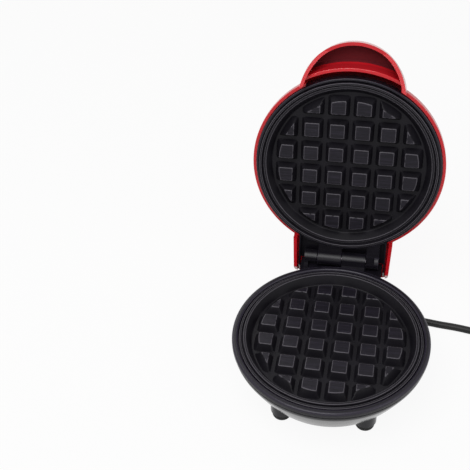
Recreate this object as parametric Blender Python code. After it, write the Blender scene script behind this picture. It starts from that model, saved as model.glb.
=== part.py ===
"""Mini round waffle maker standing open on a table, in metres with +Z up.

Everything is drawn shut, round the base's own axis, and then the lid's pieces are hung on an
empty on the hinge pin, which turns them open. The origin is on the table, under the middle of
the open object's footprint.
"""

import math

import bmesh
import bpy
from mathutils import Matrix, Vector

# Whole body
BODY_RADIUS = 0.0635
ORIGIN_TO_AXIS = 0.0300
OPEN_ANGLE = math.radians(103.5)
SEAT_GAP = 0.0003
OVERRUN = 0.004
ROUND_STEPS = 48
SMALL_STEPS = 12
MIDDLE_STEPS = 24
SHARP_ANGLE = math.radians(32)

# Feet
FOOT_HEIGHT = 0.0055
FOOT_RADIUS = 0.0062
FOOT_ROUNDING = 0.0026
ROUNDING_SHARE = 0.3
FOOT_PAD_STANDOFF = 0.0007
FOOT_PAD_MARGIN = 0.0010
FOOT_PAD_RISE = 0.0085
FRONT_FOOT_INSET = 0.0202
FRONT_FOOT_ANGLE = math.radians(38.2)
REAR_FOOT_INSET = 0.0082

# Lower housing: outer radius against height, as shares of BODY_RADIUS and BOWL_HEIGHT
BOWL_HEIGHT = 0.0325
BOWL_WALL = 0.0022
BOWL_LIP_INSET = 0.0007
BOWL_OUTLINE_SHARES = (
    (0.560, 0.000), (0.655, 0.022), (0.735, 0.115), (0.800, 0.260), (0.860, 0.450),
    (0.915, 0.650), (0.960, 0.830), (0.985, 0.940),
)
HEEL_HALF_WIDTH = 0.0282
HEEL_DEPTH = 0.0254
HEEL_EDGE = 0.0020
HEEL_FLOOR_STEP = 0.0005

# Upper ring of the base
RIM_HEIGHT = 0.0050
RIM_BEAD_RISE = 0.0013
RIM_BEAD_INSET = 0.0011
RIM_GROOVE_DEPTH = 0.0008
RIM_GROOVE_RISE = 0.0019
RIM_SPIGOT_DEPTH = 0.0024
RIM_SPIGOT_WALL = 0.0018
LEDGE_THICKNESS = 0.0020

# Waffle plates
PLATE_EDGE_GAP = 0.0006
RIM_WALL = 0.0040
TRAY_RIM_INSET = 0.0036
TRAY_RIM_WIDTH = 0.0016
WALL_HEAD_SHARE = 0.75
TRAY_WALL_RUN = 0.0043
LOWER_TRAY_RISE = 0.0014
LOWER_RIDGE_RISE = 0.0006
UPPER_TRAY_RISE = 0.0003
RIDGE_WIDTH = 0.0014
GROOVE_DEPTH = 0.0009
PLATE_WALL = 0.0020
FLANGE_UNDER_FACE = 0.0020
BLOCK_PITCH = 0.0165
BLOCK_FACE = 0.0093
BLOCK_HEIGHT = 0.0050
BLOCK_SLOPE = 0.0023
BLOCK_ROWS = 6
BLOCK_CLIP_INSET = 0.0035
BLOCK_CLIP_SLOPE = 0.0019
FACE_BELOW_RIM = 0.0013
PLATE_SEPARATION = 0.0030
POST_RADIUS = 0.0036
LOWER_POST_INSET = 0.0110
UPPER_POST_INSET = 0.0070
UPPER_POST_LENGTH = 0.0022
POST_ANGLES = tuple(math.radians(a) for a in (90, 210, 330))
EAR_ANGLES = tuple(math.radians(a) for a in (30, 150, 270))

# Screws
SCREW_RADIUS = 0.0015
SCREW_CLEARANCE = 0.0004
SCREW_GRIP = 0.0060
HEAD_RADIUS = 0.0029
HEAD_HEIGHT = 0.0022
HEAD_DOME = 0.0007
SOCKET_RADIUS = 0.0012
SOCKET_DEPTH = 0.0010
BOSS_RADIUS = 0.0048
BOSS_HEIGHT = 0.0098
COUNTERBORE_DEPTH = 0.0040

# Heaters
ELEMENT_RADIUS = 0.0032
ELEMENT_INSET = 0.0086
ELEMENT_OPENING = math.radians(36)
ELEMENT_BEND = 0.0048
ELEMENT_LEG = 0.0020
ELEMENT_STEPS = 26

# Reflector, thermostat, fuse and terminals
REFLECTOR_THICKNESS = 0.0006
REFLECTOR_MARGIN = 0.0045
REFLECTOR_FLANGE = 0.0022
WIRE_HOLE_RADIUS = 0.0050
WIRE_HOLE_INSET = 0.0220
THERMOSTAT_RADIUS = 0.0078
THERMOSTAT_CAP = 0.0030
THERMOSTAT_BODY_RADIUS = 0.0064
THERMOSTAT_BODY = 0.0040
THERMOSTAT_TAB_WIDTH = 0.0046
THERMOSTAT_TAB_THICKNESS = 0.0008
THERMOSTAT_TAB_LENGTH = 0.0020
THERMOSTAT_TAB_PLACE = 0.0036
FUSE_RADIUS = 0.0021
FUSE_LENGTH = 0.0110
FUSE_TO_THERMOSTAT = 0.0030
FUSE_END_RADIUS = 0.0008
FUSE_END_LENGTH = 0.0022
TERMINAL_LENGTH = 0.0180
TERMINAL_WIDTH = 0.0090
TERMINAL_HEIGHT = 0.0065
TERMINAL_FRONT = 0.0160
TERMINAL_NOTCH = 0.0026

# Hinge
HINGE_BEHIND_RIM = 0.0059
HINGE_ABOVE_RIM = 0.0014
PIN_RADIUS = 0.0015
BORE_CLEARANCE = 0.0003
PIN_COVER = 0.0016
BARREL_RADIUS = 0.0050
BARREL_CLEARANCE = 0.0005
KNUCKLE_GAP = 0.0005
OUTER_KNUCKLE = 0.0086
INNER_KNUCKLE = 0.0162
LEAF_UNDER_PIN = 0.0006
KNUCKLE_POCKET_DEPTH = 0.0030
KNUCKLE_POCKET_WALL = 0.0028
KNUCKLE_POCKET_REACH_SHARE = 0.90
BRIDGE_PLUG_DEPTH = 0.0060
STOP_GAP = 0.0004

# Red shell: dome, grip and hinge cover
SHELL_WALL = 0.0020
SHELL_EDGE_ABOVE_FACE = 0.0020
SHELL_BAND_HEIGHT = 0.0054
SHELL_BAND_STEP = 0.0014
SHELL_BAND_EDGE = 0.0010
DOME_HEIGHT = 0.0240
DOME_POINTS = 13
INNER_DOME_POINTS = 8
DOME_EDGE_POWER = 3.6
DOME_TOP_POWER = 1.4
DOME_SPREAD_POWER = 1.7
GRIP_RADIUS = 0.0340
GRIP_CENTRE_INSET = 0.0145
GRIP_UNDER_BAND = 0.0010
GRIP_THICKNESS = 0.0111
GRIP_LEVEL_RUN = 0.0070
GRIP_SLOPE_RUN = 0.0206
GRIP_END_DROP = 0.0126
RIB_OUTSIDE_BODY = 0.00155
RIB_WALL = 0.00235
NOTCH_HEIGHT = 0.0096
GRIP_WALL = 0.0022
GRIP_EDGE = 0.0030
COVER_ROOF_OVER_BARREL = 0.0014
COVER_WALL = 0.0022
COVER_SIDE_GAP = 0.0022
COVER_SPREAD = 0.0014
COVER_BEHIND_PIN = 0.0154
COVER_CORNER = 0.0045
COVER_EDGE = 0.0014
COVER_UNDER_PIN = 0.0022
COVER_CHAMFER_LENGTH = 0.0070
COVER_CHAMFER_HEIGHT = 0.0072

# Lens, its ring, lamp and holder
LENS_BEHIND_AXIS = 0.0174
LENS_RADIUS = 0.0114
LENS_CROWN = 0.0014
LENS_RING_WIDTH = 0.0007
LENS_LIP = 0.0010
LENS_LIP_THICKNESS = 0.0014
LENS_RING_FLANGE = 0.0018
LENS_RECESS_WIDTH = 0.0030
LENS_RECESS_DEPTH = 0.0026
LENS_CUP_WALL = 0.0020
LENS_CUP_DEPTH = 0.0030
LAMP_RADIUS = 0.0030
LAMP_TIP_SHARE = 0.7
LAMP_LENGTH = 0.0085
HOLDER_WALL = 0.0014
HOLDER_HOLE_RADIUS = 0.0015
LAMP_STANDS_OUT = 0.0007
HOLDER_FLANGE_THICKNESS = 0.0008

# Upper ring of the lid
LID_RING_DEPTH = 0.0052
LID_RING_WALL = 0.0018
EAR_WIDTH = 0.0090
EAR_THICKNESS = 0.0020
EAR_RISER = 0.0024

# Lead: sleeve, cord, coil, tie and plug
CORD_DIAMETER = 0.0050
CORD_LENGTH = 0.74
RELIEF_BEFORE_PIN = 0.0094
RELIEF_HEIGHT = 0.0128
RELIEF_TILT = math.radians(20)
RELIEF_LENGTH = 0.0200
RELIEF_FLANGE_RADIUS = 0.0046
RELIEF_FLANGE = 0.0014
RELIEF_NECK_RADIUS = 0.0029
RELIEF_SLEEVE_RADIUS = 0.0039
RELIEF_TIP_RADIUS = 0.0032
RELIEF_RIBS = 4
RELIEF_RIB_DEPTH = 0.0005
RELIEF_RIB_SHARES = ((0.40, 0), (0.50, 1), (0.85, 1), (0.95, 0))
CORD_ROUTE = (
    (0.0338, -0.0010), (0.0438, -0.0023), (0.0538, -0.0032), (0.0638, -0.0047), (0.0738, -0.0067),
)
CORD_POINTS = 26
CORD_LAY = 0.0001
COIL_MEAN_RADIUS = 0.0300
COIL_TURN_STEP = 0.0057
COIL_STEPS = 82
COIL_POINTS_PER_TURN = 24
COIL_CENTRE_ASIDE = 0.1156
COIL_CENTRE_BEHIND = 0.0156
COIL_START = math.radians(245)
COIL_LEAD = 0.0060
NEIGHBOUR_SHARE = 2.5
TIE_ANGLE = math.radians(300)
TIE_SPAN = math.radians(34)
TIE_WIDTH = 0.0060
TIE_THICKNESS = 0.0009
TIE_CORNER_SHARE = 0.9
TIE_CLEARANCE = 0.0004
PLUG_LEAD = 0.0070
PLUG_LENGTH = 0.0260
PLUG_WIDTH = 0.0240
PLUG_THICKNESS = 0.0150
PLUG_NOSE = 0.0120
PLUG_NECK_RADIUS = 0.0040
PLUG_NECK_LENGTH = 0.0100
PLUG_EDGE = 0.0018
BLADE_LENGTH = 0.0159
BLADE_WIDTH = 0.0063
BLADE_THICKNESS = 0.0015
BLADE_SPACING = 0.0127
BLADE_SOCKET = 0.0040

# Heights of the shut object, from the table up
PAD_BOTTOM = FOOT_HEIGHT + SEAT_GAP
BOWL_BOTTOM = PAD_BOTTOM + FOOT_PAD_STANDOFF
BOWL_TOP = BOWL_BOTTOM + BOWL_HEIGHT
RIM_BOTTOM = BOWL_TOP + SEAT_GAP
RIM_TOP = RIM_BOTTOM + RIM_HEIGHT
LOWER_FACE = RIM_TOP - FACE_BELOW_RIM
UPPER_FACE = LOWER_FACE + PLATE_SEPARATION
PIN_Z = RIM_TOP + HINGE_ABOVE_RIM
PIN_Y = BODY_RADIUS + HINGE_BEHIND_RIM
HEEL_FRONT = PIN_Y - HEEL_DEPTH
GRIP_CENTRE = BODY_RADIUS - GRIP_CENTRE_INSET
COVER_HALF_WIDTH = HEEL_HALF_WIDTH + COVER_SIDE_GAP + COVER_WALL
SHELL_BOTTOM = UPPER_FACE + SHELL_EDGE_ABOVE_FACE
BAND_TOP = SHELL_BOTTOM + SHELL_BAND_HEIGHT
DOME_BASE = BAND_TOP + SHELL_BAND_EDGE
DOME_TOP = DOME_BASE + DOME_HEIGHT
DOME_RADIUS = BODY_RADIUS - SHELL_BAND_STEP
PLATE_RADIUS = BODY_RADIUS - RIM_WALL - PLATE_EDGE_GAP
PLATE_DEPTH = BLOCK_HEIGHT + PLATE_WALL
TRAY_RIM_RADIUS = PLATE_RADIUS - TRAY_RIM_INSET
TRAY_FLOOR_RADIUS = TRAY_RIM_RADIUS - TRAY_WALL_RUN
LEDGE_RADIUS = TRAY_RIM_RADIUS + TRAY_RIM_WIDTH + SEAT_GAP
BLOCK_CLIP_RADIUS = TRAY_FLOOR_RADIUS - BLOCK_CLIP_INSET
LOWER_POST_CIRCLE = TRAY_FLOOR_RADIUS - LOWER_POST_INSET
UPPER_POST_CIRCLE = TRAY_FLOOR_RADIUS - UPPER_POST_INSET
ELEMENT_CIRCLE = LOWER_POST_CIRCLE - ELEMENT_INSET
REFLECTOR_BOTTOM = BOWL_BOTTOM + BOWL_WALL + BOSS_HEIGHT + SEAT_GAP
REFLECTOR_TOP = REFLECTOR_BOTTOM + REFLECTOR_THICKNESS
LOWER_POST_LENGTH = LOWER_FACE - PLATE_DEPTH - SEAT_GAP - REFLECTOR_TOP
UPPER_RIDGE_RISE = PLATE_SEPARATION - LOWER_RIDGE_RISE - SEAT_GAP
HINGE_HALF = OUTER_KNUCKLE + INNER_KNUCKLE + KNUCKLE_GAP * 3 / 2
LID_SCREW_GRIP = UPPER_POST_LENGTH + SEAT_GAP
HOLDER_LENGTH = LAMP_LENGTH + HOLDER_WALL + SEAT_GAP - LAMP_STANDS_OUT
HOLE_RADIUS = SCREW_RADIUS + SCREW_CLEARANCE
ROOF_INSIDE = BARREL_RADIUS + COVER_ROOF_OVER_BARREL
RELIEF_Y = PIN_Y - RELIEF_BEFORE_PIN
COIL_CENTRE = (HEEL_HALF_WIDTH + COIL_CENTRE_ASIDE, RELIEF_Y + COIL_CENTRE_BEHIND)


def clear_scene():
    for obj in list(bpy.data.objects):
        bpy.data.objects.remove(obj)


def material(name, colour, roughness, metallic=0.0):
    made = bpy.data.materials.new(name)
    made.use_nodes = True
    shader = made.node_tree.nodes["Principled BSDF"]
    shader.inputs["Base Color"].default_value = (*colour, 1.0)
    shader.inputs["Roughness"].default_value = roughness
    shader.inputs["Metallic"].default_value = metallic
    return made


def empty(name, place, parent=None):
    made = bpy.data.objects.new(name, None)
    bpy.context.scene.collection.objects.link(made)
    made.location = place
    made.parent = parent
    return made


def mesh_object(name, points, faces):
    """An object of these points and faces, with every face turned outwards."""
    mesh = bpy.data.meshes.new(name)
    work = bmesh.new()
    corners = [work.verts.new(p) for p in points]
    for face in faces:
        work.faces.new([corners[i] for i in face])
    bmesh.ops.recalc_face_normals(work, faces=work.faces)
    work.to_mesh(mesh)
    work.free()
    made = bpy.data.objects.new(name, mesh)
    bpy.context.scene.collection.objects.link(made)
    return made


def turned(name, profile, steps=ROUND_STEPS):
    """A solid of revolution about Z. The profile runs round its section, or from axis to axis."""
    points, rows = [], []
    for radius, height in profile:
        if radius == 0:
            rows.append([len(points)] * steps)
            points.append((0, 0, height))
            continue
        rows.append(range(len(points), len(points) + steps))
        for i in range(steps):
            turn = math.tau * (i + 0.5) / steps
            points.append((radius * math.cos(turn), radius * math.sin(turn), height))
    faces = []
    for row, following in zip(rows, rows[1:] + rows[:1]):
        for i in range(steps):
            j = (i + 1) % steps
            corners = list(dict.fromkeys((row[i], row[j], following[j], following[i])))
            if len(corners) > 2:
                faces.append(corners)
    return mesh_object(name, points, faces)


def extruded(name, outline, start, end, axis="Z"):
    """A prism. The outline is in (x, y) for axis Z, and in (y, z) for axis X."""
    put = (lambda a, b, c: (a, b, c)) if axis == "Z" else (lambda a, b, c: (c, a, b))
    count = len(outline)
    points = [put(a, b, start) for a, b in outline] + [put(a, b, end) for a, b in outline]
    faces = [list(range(count)), list(range(count, 2 * count))]
    for i in range(count):
        j = (i + 1) % count
        faces.append([i, j, count + j, count + i])
    return mesh_object(name, points, faces)


def cylinder(name, radius, bottom, top, place=(0, 0), steps=SMALL_STEPS):
    made = turned(name, ((0, bottom), (radius, bottom), (radius, top), (0, top)), steps)
    return moved(made, Matrix.Translation((*place, 0)))


def box(name, low, high):
    outline = ((low[0], low[1]), (high[0], low[1]), (high[0], high[1]), (low[0], high[1]))
    return extruded(name, outline, low[2], high[2])


def moved(obj, matrix):
    obj.data.transform(matrix)
    if matrix.determinant() < 0:
        obj.data.flip_normals()
    return obj


def bevelled(obj, width, segments, chosen):
    """Rounds the edges for which chosen(first point, second point) holds."""
    work = bmesh.new()
    work.from_mesh(obj.data)
    edges = [e for e in work.edges if chosen(e.verts[0].co, e.verts[1].co)]
    bmesh.ops.bevel(work, geom=edges, offset=width, segments=segments, profile=0.5, affect="EDGES")
    work.to_mesh(obj.data)
    work.free()
    return obj


def merged(name, *pieces):
    """Several meshes in one object, still apart."""
    work = bmesh.new()
    for piece in pieces:
        work.from_mesh(piece.data)
        bpy.data.objects.remove(piece)
    mesh = bpy.data.meshes.new(name)
    work.to_mesh(mesh)
    work.free()
    made = bpy.data.objects.new(name, mesh)
    bpy.context.scene.collection.objects.link(made)
    return made


def combined(obj, operation, *others):
    """The Boolean of obj with each of the others in turn, which are used up."""
    for other in others:
        modifier = obj.modifiers.new(operation.lower(), "BOOLEAN")
        modifier.operation = operation
        modifier.solver = "EXACT"
        modifier.object = other
        graph = bpy.context.evaluated_depsgraph_get()
        mesh = bpy.data.meshes.new_from_object(obj.evaluated_get(graph))
        obj.modifiers.clear()
        obj.data = mesh
        bpy.data.objects.remove(other)
    return obj


def finished(obj, look, parent, smooth=True):
    """Names the mesh after its object, gives it its material and hangs it on its parent."""
    obj.data.name = obj.name
    obj.data.materials.clear()
    obj.data.materials.append(look)
    obj.parent = parent
    if obj.type == "MESH" and smooth:
        obj.data.shade_smooth()
        obj.data.set_sharp_from_angle(angle=SHARP_ANGLE)
    return obj


def carried(obj, look, pivot):
    """As finished, for a piece of the lid: its origin goes to the hinge pin."""
    obj.data.transform(Matrix.Translation((0, -PIN_Y, -PIN_Z)))
    return finished(obj, look, pivot)


def polar(radius, angle):
    return radius * math.cos(angle), radius * math.sin(angle)


def arc(centre, radius, start, end, steps):
    """Points of an arc, both ends included."""
    turns = [start + (end - start) * i / steps for i in range(steps + 1)]
    return [(centre[0] + radius * math.cos(t), centre[1] + radius * math.sin(t)) for t in turns]


def stop_line(height):
    """How far behind the pin the opened cover's inner face passes, at this height from it."""
    reach = ROOF_INSIDE - STOP_GAP
    return (reach - height * math.cos(OPEN_ANGLE)) / math.sin(OPEN_ANGLE)


def heel_bend():
    """Height from the pin at which the heel's back stops leaning: below the opened cover's edge."""
    return ROOF_INSIDE * math.cos(OPEN_ANGLE) - COVER_BEHIND_PIN * math.sin(OPEN_ANGLE) - HEEL_EDGE


def waffle_blocks(name):
    """The plate's blocks, faces up at z = 0, clipped by a slanted ring wall."""
    sunk = BLOCK_HEIGHT + PLATE_WALL / 2
    face_half = BLOCK_FACE / 2
    foot_half = face_half + BLOCK_SLOPE * sunk / BLOCK_HEIGHT
    middle = (BLOCK_ROWS - 1) / 2
    points, faces = [], []
    for row in range(BLOCK_ROWS):
        for column in range(BLOCK_ROWS):
            x = (column - middle) * BLOCK_PITCH
            y = (row - middle) * BLOCK_PITCH
            if math.hypot(abs(x) - face_half, abs(y) - face_half) > BLOCK_CLIP_RADIUS - BLOCK_SLOPE:
                continue
            first = len(points)
            for half, z in ((foot_half, -sunk), (face_half, 0)):
                for i, j in ((-1, -1), (1, -1), (1, 1), (-1, 1)):
                    points.append((x + i * half, y + j * half, z))
            faces.append([first + i for i in (0, 1, 2, 3)])
            faces.append([first + i for i in (4, 5, 6, 7)])
            for i in range(4):
                j = (i + 1) % 4
                faces.append([first + i, first + j, first + 4 + j, first + 4 + i])
    blocks = mesh_object(name, points, faces)
    flare = BLOCK_CLIP_SLOPE / BLOCK_HEIGHT
    low = BLOCK_CLIP_RADIUS + flare * (sunk + OVERRUN)
    high = BLOCK_CLIP_RADIUS - flare * OVERRUN
    clip = turned("clip", ((0, -sunk - OVERRUN), (low, -sunk - OVERRUN), (high, OVERRUN), (0, OVERRUN)))
    return combined(blocks, "INTERSECT", clip)


def plate_wall_radius(depth):
    """Radius of the plate's slanted outer wall at this depth below its faces."""
    foot = TRAY_FLOOR_RADIUS + PLATE_WALL
    run = TRAY_RIM_RADIUS + TRAY_RIM_WIDTH * WALL_HEAD_SHARE - foot
    return foot + run * (PLATE_DEPTH - depth) / (PLATE_DEPTH - FLANGE_UNDER_FACE)


def waffle_plate(name, tray_rise, ridge_rise, post_circle, post_length, post_angles, hole_depth):
    """A cast plate with its block faces up at z = 0 and its posts below."""
    tray_out = TRAY_RIM_RADIUS + TRAY_RIM_WIDTH / 2
    tray_in = TRAY_RIM_RADIUS - TRAY_RIM_WIDTH / 2
    ridge_in = PLATE_RADIUS - RIDGE_WIDTH
    groove = (tray_out + ridge_in) / 2
    edge = TRAY_RIM_WIDTH / 4
    pan = turned(name, (
        (0, -BLOCK_HEIGHT),
        (TRAY_FLOOR_RADIUS, -BLOCK_HEIGHT),
        (tray_in - edge, tray_rise - edge),
        (tray_in + edge, tray_rise),
        (tray_out - edge, tray_rise),
        (tray_out, tray_rise - edge),
        (groove, -GROOVE_DEPTH),
        (ridge_in + edge, ridge_rise),
        (PLATE_RADIUS - edge, ridge_rise),
        (PLATE_RADIUS, ridge_rise - edge),
        (PLATE_RADIUS, -FLANGE_UNDER_FACE),
        (plate_wall_radius(FLANGE_UNDER_FACE), -FLANGE_UNDER_FACE),
        (plate_wall_radius(PLATE_DEPTH), -PLATE_DEPTH),
        (0, -PLATE_DEPTH),
    ))
    combined(pan, "UNION", waffle_blocks("blocks"))
    end = -PLATE_DEPTH - post_length
    root = -PLATE_DEPTH + PLATE_WALL / 2
    outline = (
        (0, end + hole_depth), (HOLE_RADIUS, end + hole_depth), (HOLE_RADIUS, end),
        (POST_RADIUS, end), (POST_RADIUS, root), (0, root),
    )
    for angle in post_angles:
        place = Matrix.Translation((*polar(post_circle, angle), 0))
        combined(pan, "UNION", moved(turned("post", outline, SMALL_STEPS), place))
    return pan


def heating_element(name, back, leg):
    """A rod bent round in a ring below the plate, with its two ends turned away from the plate.

    back is the height of the plate's back, with the plate's faces up.
    """
    height = back - SEAT_GAP - ELEMENT_RADIUS
    half = ELEMENT_OPENING / 2
    ring = arc((0, 0), ELEMENT_CIRCLE, half, math.tau - half, ELEMENT_STEPS)
    bend_steps = 4
    points = [Vector((x, y, height)) for x, y in ring]
    ends = []
    for at, following in ((points[0], points[1]), (points[-1], points[-2])):
        onward = (at - following).normalized()
        bend = []
        for i in range(1, bend_steps + 1):
            turn = math.pi / 2 * i / bend_steps
            drop = ELEMENT_BEND * (1 - math.cos(turn))
            bend.append(at + onward * ELEMENT_BEND * math.sin(turn) - Vector((0, 0, drop)))
        bend.append(bend[-1] - Vector((0, 0, leg)))
        ends.append(bend)
    return tube(name, ends[0][::-1] + points + ends[1], ELEMENT_RADIUS, 1)


def tube(name, points, radius, resolution):
    """A round rod or cord along these points, closed at both ends."""
    line = bpy.data.curves.new(name, "CURVE")
    line.dimensions = "3D"
    line.bevel_depth = radius
    line.bevel_resolution = resolution
    line.use_fill_caps = True
    spline = line.splines.new("POLY")
    spline.points.add(len(points) - 1)
    for place, point in zip(spline.points, points):
        place.co = (*point, 1)
    made = bpy.data.objects.new(name, line)
    bpy.context.scene.collection.objects.link(made)
    return made


def screw(name, grip, shank):
    """A pan-head screw, its head's seat at z = 0 and its shank up +Z for grip plus shank."""
    socket = min(SOCKET_DEPTH, HEAD_HEIGHT / 2)
    return turned(name, (
        (0, -HEAD_HEIGHT + socket),
        (SOCKET_RADIUS, -HEAD_HEIGHT + socket),
        (SOCKET_RADIUS, -HEAD_HEIGHT),
        (HEAD_RADIUS - HEAD_DOME, -HEAD_HEIGHT),
        (HEAD_RADIUS, -HEAD_HEIGHT + HEAD_DOME),
        (HEAD_RADIUS, 0),
        (SCREW_RADIUS, 0),
        (SCREW_RADIUS, shank + grip),
        (0, shank + grip),
    ), SMALL_STEPS)


def bowl_profile(inset):
    """The bowl's outline, moved inwards by inset, from its floor up to its lip."""
    lip = BODY_RADIUS - BOWL_LIP_INSET
    outline = [(BODY_RADIUS * r, BOWL_BOTTOM + BOWL_HEIGHT * h) for r, h in BOWL_OUTLINE_SHARES]
    outline.append((lip, BOWL_TOP))
    if not inset:
        return outline
    moved_in = []
    for i, (radius, height) in enumerate(outline):
        before = outline[max(i - 1, 0)]
        after = outline[min(i + 1, len(outline) - 1)]
        along = Vector((after[0] - before[0], after[1] - before[1])).normalized()
        moved_in.append((radius - along.y * inset, height + along.x * inset))
    moved_in[0] = (moved_in[0][0], BOWL_BOTTOM + inset)
    moved_in[-1] = (lip - inset, BOWL_TOP + OVERRUN)
    return moved_in[:-2:2] + moved_in[-2:]


def bowl_inner_radius(height):
    """Radius of the bowl's inner wall at this height."""
    inner = bowl_profile(BOWL_WALL)
    for (low_radius, low), (high_radius, high) in zip(inner, inner[1:]):
        if low <= height <= high:
            return low_radius + (high_radius - low_radius) * (height - low) / (high - low)
    return inner[0][0]


def heel_outline(inset, top):
    """The heel's side view in (y, z): its back leans with the opened hinge cover."""
    foot = BOWL_BOTTOM + inset + (HEEL_FLOOR_STEP if inset else 0)
    low_back = PIN_Y + stop_line(heel_bend())
    bend = PIN_Z + heel_bend()
    corner = BOWL_BOTTOM + HEEL_EDGE
    outline = [(HEEL_FRONT + inset, top), (HEEL_FRONT + inset, foot)]
    if not inset:
        outline += [(low_back - HEEL_EDGE, foot), (low_back, corner)]
    else:
        outline += [(low_back - inset, foot)]
    outline += [(low_back - inset, bend), (PIN_Y + stop_line(top - PIN_Z) - inset, top)]
    return outline


def relief_frame():
    """Where the sleeve leaves the heel's right wall, and the way it points."""
    place = Vector((HEEL_HALF_WIDTH, RELIEF_Y, RELIEF_HEIGHT))
    way = Vector((math.cos(RELIEF_TILT), 0, -math.sin(RELIEF_TILT)))
    return place, way


def along_x(obj, place, way):
    """Turns a piece drawn along +Z so that it runs along way from place."""
    return moved(obj, Matrix.Translation(place) @ way.to_track_quat("Z", "Y").to_matrix().to_4x4())


def foot_places():
    front_x, front_y = polar(BODY_RADIUS - FRONT_FOOT_INSET, FRONT_FOOT_ANGLE - math.pi / 2)
    rear_x = HEEL_HALF_WIDTH - REAR_FOOT_INSET
    heel_middle = PIN_Y + stop_line(heel_bend()) - FOOT_RADIUS - FOOT_PAD_MARGIN - HEEL_EDGE
    return {
        "foot_front_left": (-front_x, front_y),
        "foot_front_right": (front_x, front_y),
        "foot_rear_left": (-rear_x, heel_middle),
        "foot_rear_right": (rear_x, heel_middle),
    }


def make_base_bowl():
    """The lower housing: a turned shell with a heel behind, bosses inside and pads for the feet."""
    outer = bowl_profile(0)
    bowl = turned("base_bowl", [(0, BOWL_BOTTOM)] + outer + [(0, BOWL_TOP)])
    heel = extruded("heel", heel_outline(0, BOWL_TOP), -HEEL_HALF_WIDTH, HEEL_HALF_WIDTH, "X")
    bevelled(heel, HEEL_EDGE, 2, lambda a, b: (
        abs(a.x - b.x) < SEAT_GAP and min(a.y, b.y) > HEEL_FRONT + SEAT_GAP
    ))
    pad = FOOT_RADIUS + FOOT_PAD_MARGIN
    pads = [
        cylinder("pad", pad, PAD_BOTTOM, BOWL_BOTTOM + FOOT_PAD_RISE, place)
        for place in foot_places().values()
    ]
    combined(bowl, "UNION", heel, merged("pads", *pads))
    inner = bowl_profile(BOWL_WALL)
    cavity = turned("cavity", [(0, BOWL_BOTTOM + BOWL_WALL)] + inner + [(0, BOWL_TOP + OVERRUN)])
    room = HEEL_HALF_WIDTH - BOWL_WALL
    heel_room = extruded("heel_room", heel_outline(BOWL_WALL, BOWL_TOP + OVERRUN / 2), -room, room, "X")
    exit_hole = cylinder("exit", RELIEF_NECK_RADIUS + SEAT_GAP, -2 * BOWL_WALL, OVERRUN)
    along_x(exit_hole, relief_frame()[0], Vector((1, 0, 0)))
    combined(cavity, "UNION", heel_room, exit_hole)
    boss_top = REFLECTOR_BOTTOM - SEAT_GAP
    seat = BOWL_BOTTOM + COUNTERBORE_DEPTH
    sink = HEAD_RADIUS + SCREW_CLEARANCE
    stepped = (
        (0, PAD_BOTTOM - OVERRUN), (sink, PAD_BOTTOM - OVERRUN), (sink, seat),
        (HOLE_RADIUS, seat), (HOLE_RADIUS, boss_top + OVERRUN), (0, boss_top + OVERRUN),
    )
    bosses, holes = [], []
    for angle in POST_ANGLES:
        place = polar(LOWER_POST_CIRCLE, angle)
        bosses.append(cylinder("boss", BOSS_RADIUS, BOWL_BOTTOM, boss_top, place, MIDDLE_STEPS))
        hole = turned("screw_hole", stepped, SMALL_STEPS)
        holes.append(moved(hole, Matrix.Translation((*place, 0))))
    combined(cavity, "DIFFERENCE", merged("bosses", *bosses))
    combined(cavity, "UNION", merged("screw_holes", *holes))
    combined(bowl, "DIFFERENCE", cavity)
    return bowl


def knuckle_outline(front, low, back_low):
    """A knuckle in (y, z) from the pin: round on top and behind, flat in front, down to low."""
    crown = arc((0, 0), BARREL_RADIUS, math.radians(120), math.radians(-20), 8)
    outline = [(-BARREL_RADIUS, low), (-BARREL_RADIUS, BARREL_RADIUS / 2)] + crown
    outline.append((back_low, low))
    if front < -BARREL_RADIUS:
        outline = [(front, low), (front, low / 2), (-BARREL_RADIUS, low / 3)] + outline[1:]
    return [(PIN_Y + y, PIN_Z + z) for y, z in outline]


def outside(obj, radius):
    """Cuts away what a piece of the hinge has inside this radius."""
    core = cylinder("core", radius, -OVERRUN, PIN_Z * 2, steps=ROUND_STEPS)
    return combined(obj, "DIFFERENCE", core)


def hinge_bore(name):
    end = HINGE_HALF - PIN_COVER
    bore = cylinder(name, PIN_RADIUS + BORE_CLEARANCE, -end, end)
    return along_x(bore, Vector((0, PIN_Y, PIN_Z)), Vector((1, 0, 0)))


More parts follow.
